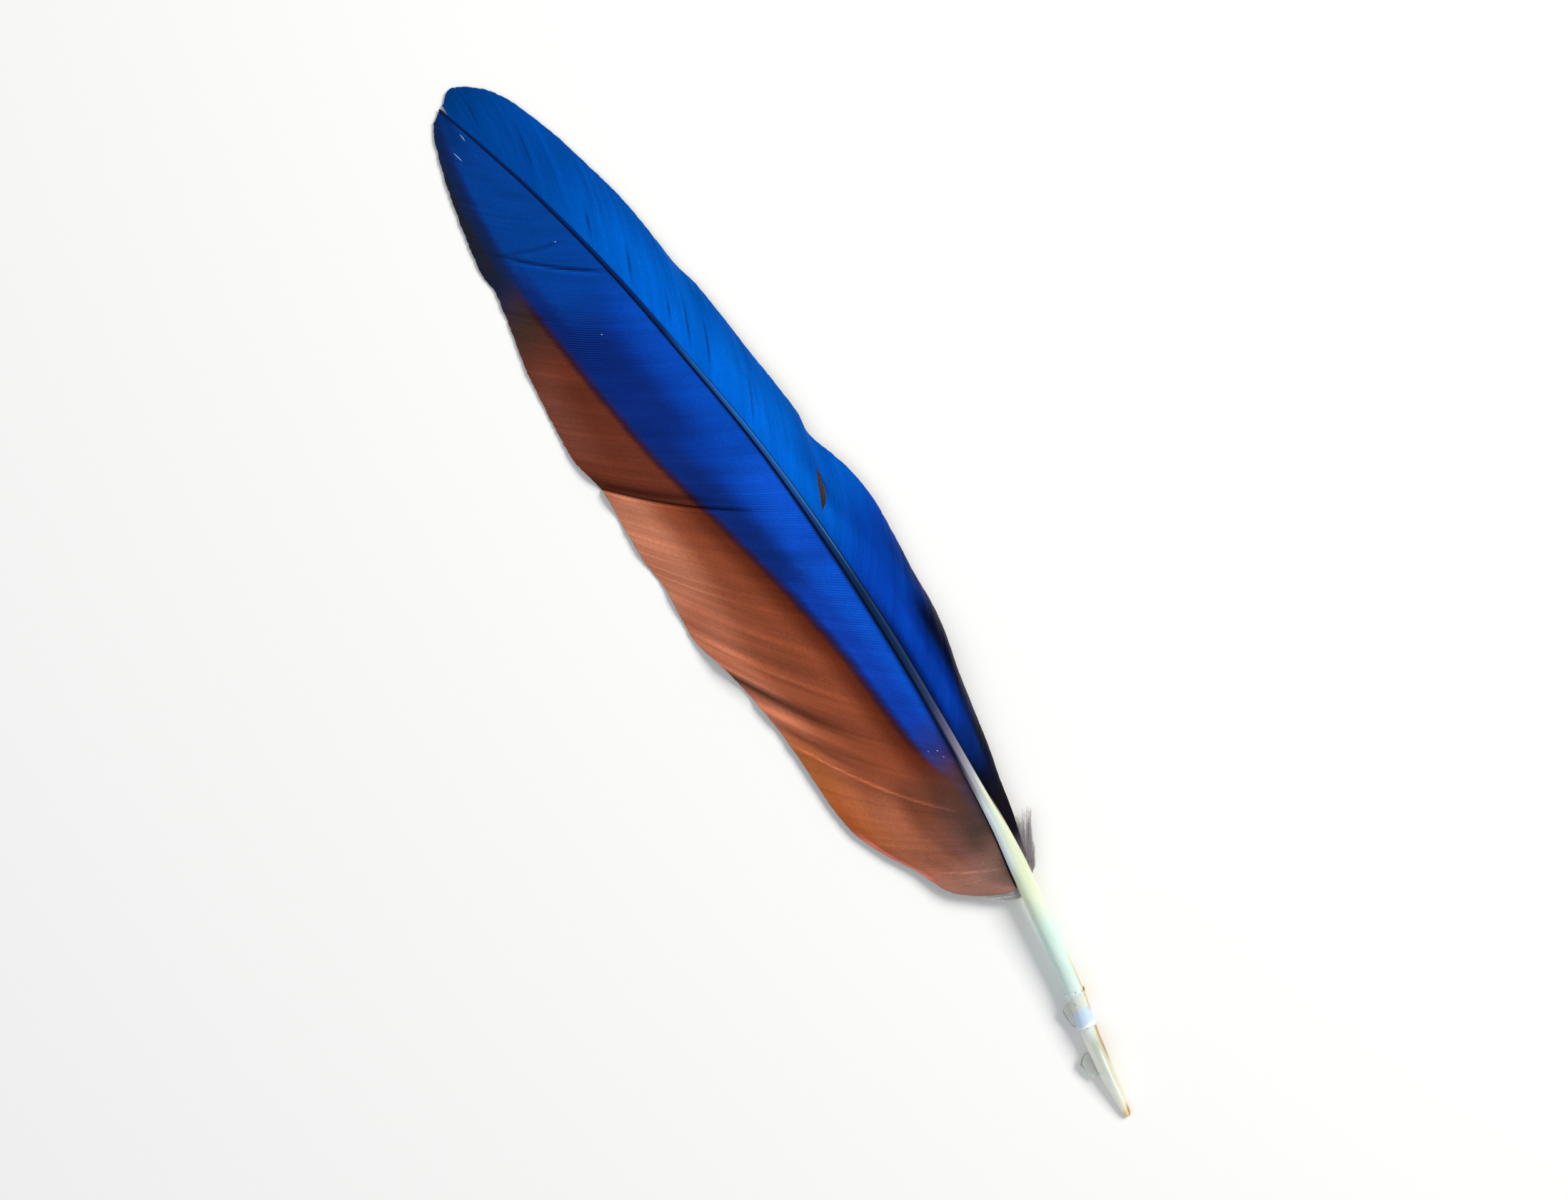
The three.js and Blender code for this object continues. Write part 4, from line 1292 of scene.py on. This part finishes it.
dry_sheath, tree, measure = new_material("dry_sheath_keratin", ("along", "turned"))
place = add(tree, "ShaderNodeTexCoord").outputs["Object"]
measure["dirt"] = add(tree, "ShaderNodeTexNoise", {
    "Vector": place, "Scale": 1 / (DIRT_SIZE * MM), "Detail": 4.0}).outputs[0]
tone = lay(tree, linear(MILKY_SHEATH), measure, SHEATH_LAYERS)
bump = add(tree, "ShaderNodeBump", {
    "Height": measure["dirt"], "Strength": 0.35, "Distance": SHEATH_CREASES}).outputs[0]
surface = add(tree, "ShaderNodeBsdfPrincipled", {
    "Base Color": tone, "Roughness": 0.38, "IOR": KERATIN_IOR, "Normal": bump, "Specular IOR Level": 0.4,
    "Subsurface Weight": 0.3, "Subsurface Radius": (1.0, 0.9, 0.8), "Subsurface Scale": 0.3 * MM,
})
add(tree, "ShaderNodeOutputMaterial", {"Surface": surface.outputs[0]})
make_piece("sheath_sleeve", sleeve_rings, dry_sheath, {
    "along": sleeve_rings[..., 1],
    "turned": np.concatenate([np.cos(angle)[:, None] * np.ones(SLEEVE_STATIONS)] * 2, 1),
})

# %% [markdown]
# ## Two flakes of clear sheath
# On the left of the quill two scraps of sheath stand off it. They are as clear as adhesive tape, and what
# shows is their edge, which has rolled up and gone dark. A flat plane with a see-through image would do for
# a still picture. Here each is a film with two sides, stretched between the line where it holds on and its
# free edge. Both lines run smoothly through a few points, in the same way as the shaft does.

# %% Where the flakes and their edges run
# [the line where it holds on, its free edge], as (across, along, height)
FLAKES = [
    [[(4.1, 28.9, 3.2), (3.5, 27.2, 3.1), (2.95, 25.3, 3.0), (2.5, 23.2, 2.8)],
     [(2.3, 28.5, 2.95), (1.55, 27.8, 2.65), (1.45, 25.8, 2.45), (1.5, 24.0, 2.45), (2.1, 23.1, 2.5)]],
    [[(1.15, 17.2, 2.3), (0.85, 15.5, 2.2), (0.5, 13.5, 2.1), (0.3, 11.7, 2.0)],
     [(0.3, 17.3, 2.25), (-0.9, 16.6, 2.0), (-1.95, 15.5, 1.75), (-1.95, 13.8, 1.65), (-1.6, 12.6, 1.65),
      (-1.2, 11.8, 1.75)]],
]
# [points, radius at the start, radius at the end, how pale it is]
ROLLED_EDGES = [
    [FLAKES[0][1][1:4], 0.2, 0.05, 0.3],
    [FLAKES[1][1][:3], 0.08, 0.2, 0.2],
    [FLAKES[1][1][2:], 0.06, 0.03, 0.9],
    [[(-1.3, 11.7, 1.75), (-0.4, 11.95, 2.0), (0.5, 11.9, 2.9), (1.2, 11.6, 3.42), (1.9, 11.0, 3.56)],
     0.14, 0.08, 0.95],
    [[(4.1, 29.6, 3.4), (3.85, 30.3, 3.6), (4.3, 30.95, 3.9)], 0.05, 0.03, 0.2],
]


def guide_line(points):
    """A smooth line through a few points, as a function of the share of its length."""
    axes = [profile(list(zip(np.linspace(0, 1, len(points)), axis))) for axis in np.array(points, float).T]
    return lambda share: np.stack([axis(share) for axis in axes], -1)


print("middle of the first flake's free edge:", guide_line(FLAKES[0][1])(0.5).round(1))

# %% [markdown]
# ## Clear film
# Clear keratin is see-through like clear plastic: full colour, a smooth surface and keratin's IOR. It lets
# 85 parts in a hundred of the light through and scatters the rest, which is what makes it show against the
# white table.

# %% The two flakes
FILM_THICK = 0.06  # millimetres
FILM_STEPS, FILM_STATIONS = 14, 24
CLEAR_KERATIN = "#f2f5ee"


def film_rings(held, free):
    """Rings round a thin film, from the line where it is held to its free edge."""
    share = np.linspace(0, 1, FILM_STATIONS)
    across = np.linspace(0, 1, FILM_STEPS)[:, None, None]
    middle = guide_line(held)(share) * (1 - across) + guide_line(free)(share) * across
    top, under = middle + (0, 0, FILM_THICK / 2), middle - (0, 0, FILM_THICK / 2)
    return np.concatenate([top, under[:, ::-1]], 1)[None]


clear_film, tree, _ = new_material("clear_sheath_film")
surface = add(tree, "ShaderNodeBsdfPrincipled", {
    "Base Color": linear(CLEAR_KERATIN), "Roughness": 0.2, "IOR": KERATIN_IOR, "Transmission Weight": 0.85})
add(tree, "ShaderNodeOutputMaterial", {"Surface": surface.outputs[0]})
for name, (held, free) in zip(("flake_by_the_sleeve", "flake_near_the_end"), FLAKES):
    make_piece(name, film_rings(held, free), clear_film)

# %% [markdown]
# ## Strands
# The rolled edges of the flakes are thin round tubes, and so are the hairs of the down further on. A tube
# round a line needs two directions at each point, one level and one over it, and a ring of points in the
# plane of these two. Squeezed in the second direction, the tube becomes a blade that lies flat.

# %% Rings round a line


def strands(lines, radii, sides, flat=1.0):
    """Rings round lines (tube, point, xyz). flat under 1 squeezes them to a blade that lies level."""
    ahead = np.gradient(lines, axis=1)
    ahead /= np.linalg.norm(ahead, axis=-1, keepdims=True)
    side = np.cross(ahead, (0, 0, 1.0))
    side /= np.linalg.norm(side, axis=-1, keepdims=True) + 1e-9
    over = np.cross(side, ahead)
    angle = (np.arange(sides) + 0.5) / sides * 2 * np.pi
    wide = radii[..., None, None] * side[:, :, None] * np.cos(angle)[:, None]
    high = radii[..., None, None] * flat * over[:, :, None] * np.sin(angle)[:, None]
    return lines[:, :, None] + wide + high


straight = np.linspace((0, 0, 0), (0, 3, 0), 4)[None]
print("rings round a line of four points:", strands(straight, np.ones((1, 4)), 8).shape)

# %% [markdown]
# ## Rolled edges
# A rolled edge is the same keratin several layers thick, so it looks from grey-brown to pale with the
# number of turns. One number on each tube says how pale it is, which saves a material for each.

# %% Rolled edges of the flakes
EDGE_POINTS, EDGE_SIDES = 30, 8
THICK_ROLL, THIN_ROLL = "#7f7a72", "#c9d9d8"
rolled_keratin, tree, measure = new_material("rolled_sheath_keratin", ("pale",))
tone = lay(tree, linear(THICK_ROLL), measure, [(THIN_ROLL, ("pale", 0.0, 1.0))])
surface = add(tree, "ShaderNodeBsdfPrincipled", {"Base Color": tone, "Roughness": 0.4, "IOR": KERATIN_IOR})
add(tree, "ShaderNodeOutputMaterial", {"Surface": surface.outputs[0]})
share = np.linspace(0, 1, EDGE_POINTS)
edge_lines = np.stack([guide_line(points)(share) for points, *_ in ROLLED_EDGES])
thick_first, thick_last, pale = (np.array([row[k] for row in ROLLED_EDGES])[:, None] for k in (1, 2, 3))
edge_radii = thick_first + (thick_last - thick_first) * share
make_piece("rolled_edges", strands(edge_lines, edge_radii, EDGE_SIDES), rolled_keratin,
           {"pale": pale[..., None]})

# %% [markdown]
# ## Down at the foot of the vanes
# The lowest barbs of a flight feather don't hook together. They are long, soft and loose, and each carries
# hairs on both sides. Blender's hair would be the usual way to make them, but hair doesn't leave Blender as
# a mesh. So here, too, each is a thin tube. A few guide lines give the tuft its shape, and every barb is a
# random blend of two of them.

# %% Barbs of down, combed between guide lines
# [across, along, height] of points along each guide
RIGHT_TUFT = [
    [(13.3, 57.4, 4.3), (14.6, 58.8, 3.8), (16.2, 60.8, 3.0), (17.8, 63.6, 2.3)],
    [(13.2, 58.2, 4.6), (15.4, 61.2, 4.3), (17.8, 64.6, 3.6), (20.3, 68.8, 2.8)],
    [(13.3, 59.0, 4.7), (15.6, 62.4, 4.4), (18.2, 66.0, 3.6), (21.6, 70.6, 2.6)],
    [(13.4, 60.4, 4.8), (15.2, 64.2, 4.6), (16.6, 67.0, 4.0), (17.4, 69.4, 3.5)],
    [(13.5, 61.5, 4.8), (14.8, 64.5, 4.7), (15.6, 67.5, 4.4), (16.0, 70.2, 4.0)],
]
LEFT_TUFT = [
    [(9.6, 54.4, 4.0), (7.4, 54.5, 3.6), (5.0, 55.7, 3.0), (2.6, 57.7, 2.6)],
    [(9.7, 55.2, 4.1), (7.0, 55.3, 3.7), (4.2, 56.6, 3.1), (1.4, 58.4, 2.6)],
    [(9.8, 56.0, 4.2), (6.8, 56.5, 3.9), (3.8, 57.8, 3.3), (0.7, 58.8, 2.7)],
    [(9.9, 56.8, 4.3), (7.0, 57.3, 4.0), (4.4, 58.4, 3.4), (2.0, 59.6, 2.9)],
]
# [guides, barbs, shortest share of the length, spread, how pale from root to tip]
TUFTS = [
    [RIGHT_TUFT, 130, 0.45, 0.13, (0.1, 0.5)],
    [LEFT_TUFT, 48, 0.45, 0.12, (0.45, 1.75)],
]
DOWN_SHARES = np.linspace(0, 1, 16)
DOWN_WAVE = 0.16  # millimetres
DOWN_TURNS = 1.3  # waves on the whole length of a barb
ROOT_SPREAD = 0.3  # share of the spread that the roots have already


def combed(guides, count, shortest, spread, chance):
    """Lines (line, point, xyz) between guide lines, each with a length, a place and a wave of its own."""
    share = chance.uniform(shortest, 1.0, (count, 1)) * DOWN_SHARES
    every = np.stack([guide_line(points)(share) for points in guides])
    place = chance.uniform(0, len(guides) - 1, count)
    low = place.astype(int)
    blend = (place - low)[:, None, None]
    lines = every[low, np.arange(count)] * (1 - blend) + every[low + 1, np.arange(count)] * blend
    shift = spread * chance.normal(size=(count, 1, 3)) * (ROOT_SPREAD + share[..., None])
    turn = 2 * np.pi * (DOWN_TURNS * share + chance.uniform(size=(count, 1)))
    wave = DOWN_WAVE * chance.normal(size=(count, 1, 3)) * (share * np.sin(turn))[..., None]
    return lines + shift + wave


print("length of a guide of the right tuft, mm:", round(math.dist(RIGHT_TUFT[2][0], RIGHT_TUFT[2][-1]), 1))

# %% [markdown]
# ## Hairs of the down
# Each barb of down carries a row of hairs on either side, which point ahead at a slant and sag a little.
# There are more on a real barb, but these fill the tuft, and three points are enough for a hair that bends
# once.

# %% Hairs on the barbs of down
HAIRS_PER_BARB = 70
HAIRY = (0.1, 0.97)  # share of a barb's length where the hairs begin and end
HAIR_LONGEST = 1.5  # millimetres
HAIR_LENGTHS = (0.5, 1.0)  # times the longest
HAIR_SHORTENS = 0.5  # how much shorter the hairs at a barb's tip are
HAIR_SLANT = 0.3  # radians off the barb
HAIR_SLANTS = (0.7, 1.3)  # times that slant
HAIR_STRAYS = 0.12  # how far a hair strays from its slant, as a share of its length
HAIR_SAGS = 0.15  # and how far its tip sags
HAIR_POINTS = 3


def hairs_on(lines, chance):
    """Short hairs (hair, point, xyz) to both sides of each line, and at which share of it each one sits."""
    place = np.linspace(*HAIRY, HAIRS_PER_BARB) * (len(DOWN_SHARES) - 1)
    low = place.astype(int)
    blend = (place - low)[None, :, None]
    root = lines[:, low] * (1 - blend) + lines[:, low + 1] * blend
    ahead = lines[:, low + 1] - lines[:, low]
    ahead /= np.linalg.norm(ahead, axis=-1, keepdims=True)
    left_or_right = np.where(np.arange(HAIRS_PER_BARB) % 2, 1.0, -1.0)
    aside = np.cross(ahead, (0, 0, 1.0)) * left_or_right[None, :, None]
    angle = HAIR_SLANT * chance.uniform(*HAIR_SLANTS, root.shape[:2])[..., None]
    toward = ahead * np.cos(angle) + aside * np.sin(angle) + HAIR_STRAYS * chance.normal(size=root.shape)
    share = place / (len(DOWN_SHARES) - 1)
    length = HAIR_LONGEST * chance.uniform(*HAIR_LENGTHS, root.shape[:2]) * (1 - HAIR_SHORTENS * share)
    step = np.linspace(0, 1, HAIR_POINTS)[:, None]
    droop = np.array((0, 0, -HAIR_SAGS)) * step**2
    hairs = root[:, :, None] + length[..., None, None] * (toward[:, :, None] * step + droop)
    return hairs.reshape(-1, HAIR_POINTS, 3), np.broadcast_to(share, root.shape[:2]).reshape(-1)


chance = np.random.default_rng(31)
down_lines, down_pale, hair_lines, hair_pale = [], [], [], []
for guides, count, shortest, spread, (pale_root, pale_tip) in TUFTS:
    lines = combed(guides, count, shortest, spread, chance)
    hairs, share = hairs_on(lines, chance)
    down_lines.append(lines)
    hair_lines.append(hairs)
    down_pale.append(np.tile(pale_root + (pale_tip - pale_root) * DOWN_SHARES, (count, 1)))
    hair_pale.append(np.tile((pale_root + (pale_tip - pale_root) * share)[:, None], (1, HAIR_POINTS)))
down_lines, down_pale, hair_lines, hair_pale = (
    np.concatenate(part) for part in (down_lines, down_pale, hair_lines, hair_pale))
print("barbs of down:", len(down_lines), "with", len(hair_lines), "hairs")

# %% [markdown]
# ## The finish of down
# Down is matt keratin: its hairs scatter the light instead of reflecting it, at roughness 0.8. It is
# grey-violet at the shaft and nearly white where it thins out. Real hairs of down are 0.01 mm thick, which
# would vanish in the picture, so they are drawn up to five times as thick. To stay as soft as real down,
# each then stops only half of the light. Scraps of down that are matted together stop all of it.

# %% Down keratin
DOWN_GREY, DOWN_WHITE, DOWN_ON_BLUE = "#a3989f", "#f6f5f3", "#86b2e4"
DOWN_COVERS = 0.5  # share of the light that one drawn hair stops


def down_material(name, covers):
    """Matt keratin, from grey-violet to white with the number "pale", that stops a share of the light."""
    material, tree, measure = new_material(name, ("pale",))
    tone = lay(tree, linear(DOWN_GREY), measure, [
        (DOWN_WHITE, ("pale", 0.0, 1.0)), (DOWN_ON_BLUE, ("pale", 1.8, 2.0))])
    surface = add(tree, "ShaderNodeBsdfPrincipled", {
        "Base Color": tone, "Roughness": 0.8, "IOR": KERATIN_IOR, "Specular IOR Level": 0.2,
        "Subsurface Weight": 0.3, "Subsurface Radius": (1.0, 0.9, 0.9), "Subsurface Scale": 0.4 * MM,
        "Alpha": covers})
    add(tree, "ShaderNodeOutputMaterial", {"Surface": surface.outputs[0]})
    return material


soft_down = down_material("soft_down_keratin", DOWN_COVERS)
print("material of the down:", soft_down.name)

# %% [markdown]
# ## The down as meshes
# The barbs of down are flat blades with four sides, and the hairs are round and have three, the fewest that
# a tube can have. So twelve thousand hairs stay under two hundred thousand triangles.

# %% Down as meshes
BARB_RADII = (0.1, 0.03)  # millimetres at the root and at the tip
BARB_SIDES, BARB_FLAT = 4, 0.3
HAIR_RADII = (0.024, 0.01)
HAIR_SIDES = 3


def thinning(lines, radii):
    """A radius for each point, from the first at the root to the last at the tip."""
    return np.tile(np.linspace(*radii, lines.shape[1]), (len(lines), 1))


downy_rings = strands(down_lines, thinning(down_lines, BARB_RADII), BARB_SIDES, BARB_FLAT)
hair_rings = strands(hair_lines, thinning(hair_lines, HAIR_RADII), HAIR_SIDES)
make_piece("down_barbs", downy_rings, soft_down, {"pale": down_pale[..., None]})
make_piece("down_hairs", hair_rings, soft_down, {"pale": hair_pale[..., None]})

# %% [markdown]
# ## Flecks
# A few scraps of matted down, from a third of a millimetre to nearly three millimetres long, are caught on
# the blue of the inner vane. They could be dots in the material, but they lie on top and cast a shadow, so
# each is a short flat strand, round at both ends.

# %% Flecks caught on the vane
# ((across, along) where it starts, (across, along) where it ends)
FLECKS = [
    ((-2.55, 262.3), (-2.0, 259.8)), ((0.95, 265.0), (1.1, 263.1)), ((4.8, 233.1), (5.15, 232.7)),
    ((1.75, 210.1), (2.0, 209.7)), ((11.0, 92.0), (11.3, 91.6)), ((11.45, 90.1), (11.6, 89.7)),
    ((9.3, 92.9), (9.45, 92.6)),
]
FLECK_HEIGHT, FLECK_RADIUS = 0.06, 0.11
FLECK_POINTS, FLECK_SIDES, FLECK_FLAT = 7, 6, 0.35
FLECK_PALE = 2.0  # past white: so thin that the blue below shines through
BLUNT = 0.04  # share of its length at which a fleck is cut off, so that its ends aren't points
tops = inner_rings[:, :, 1].reshape(-1, 3)


def on_inner_vane(point):
    """The place just above the inner vane's barbs at (across, along)."""
    nearest = tops[np.argmin(np.linalg.norm(tops[:, :2] - point, axis=1))]
    return np.array([*point, nearest[2] + FLECK_HEIGHT])


ends = np.array([[on_inner_vane(start), on_inner_vane(end)] for start, end in FLECKS])
share = np.linspace(0, 1, FLECK_POINTS)[:, None]
fleck_lines = ends[:, None, 0] * (1 - share) + ends[:, None, 1] * share
rounded = np.sqrt(np.sin(np.pi * np.clip(share[:, 0], BLUNT, 1 - BLUNT)))
fleck_radii = np.tile(FLECK_RADIUS * rounded, (len(FLECKS), 1))
fleck_rings = strands(fleck_lines, fleck_radii, FLECK_SIDES, FLECK_FLAT)
matted_down = down_material("scraps_of_down", covers=1.0)
make_piece("flecks", fleck_rings, matted_down, {"pale": FLECK_PALE})
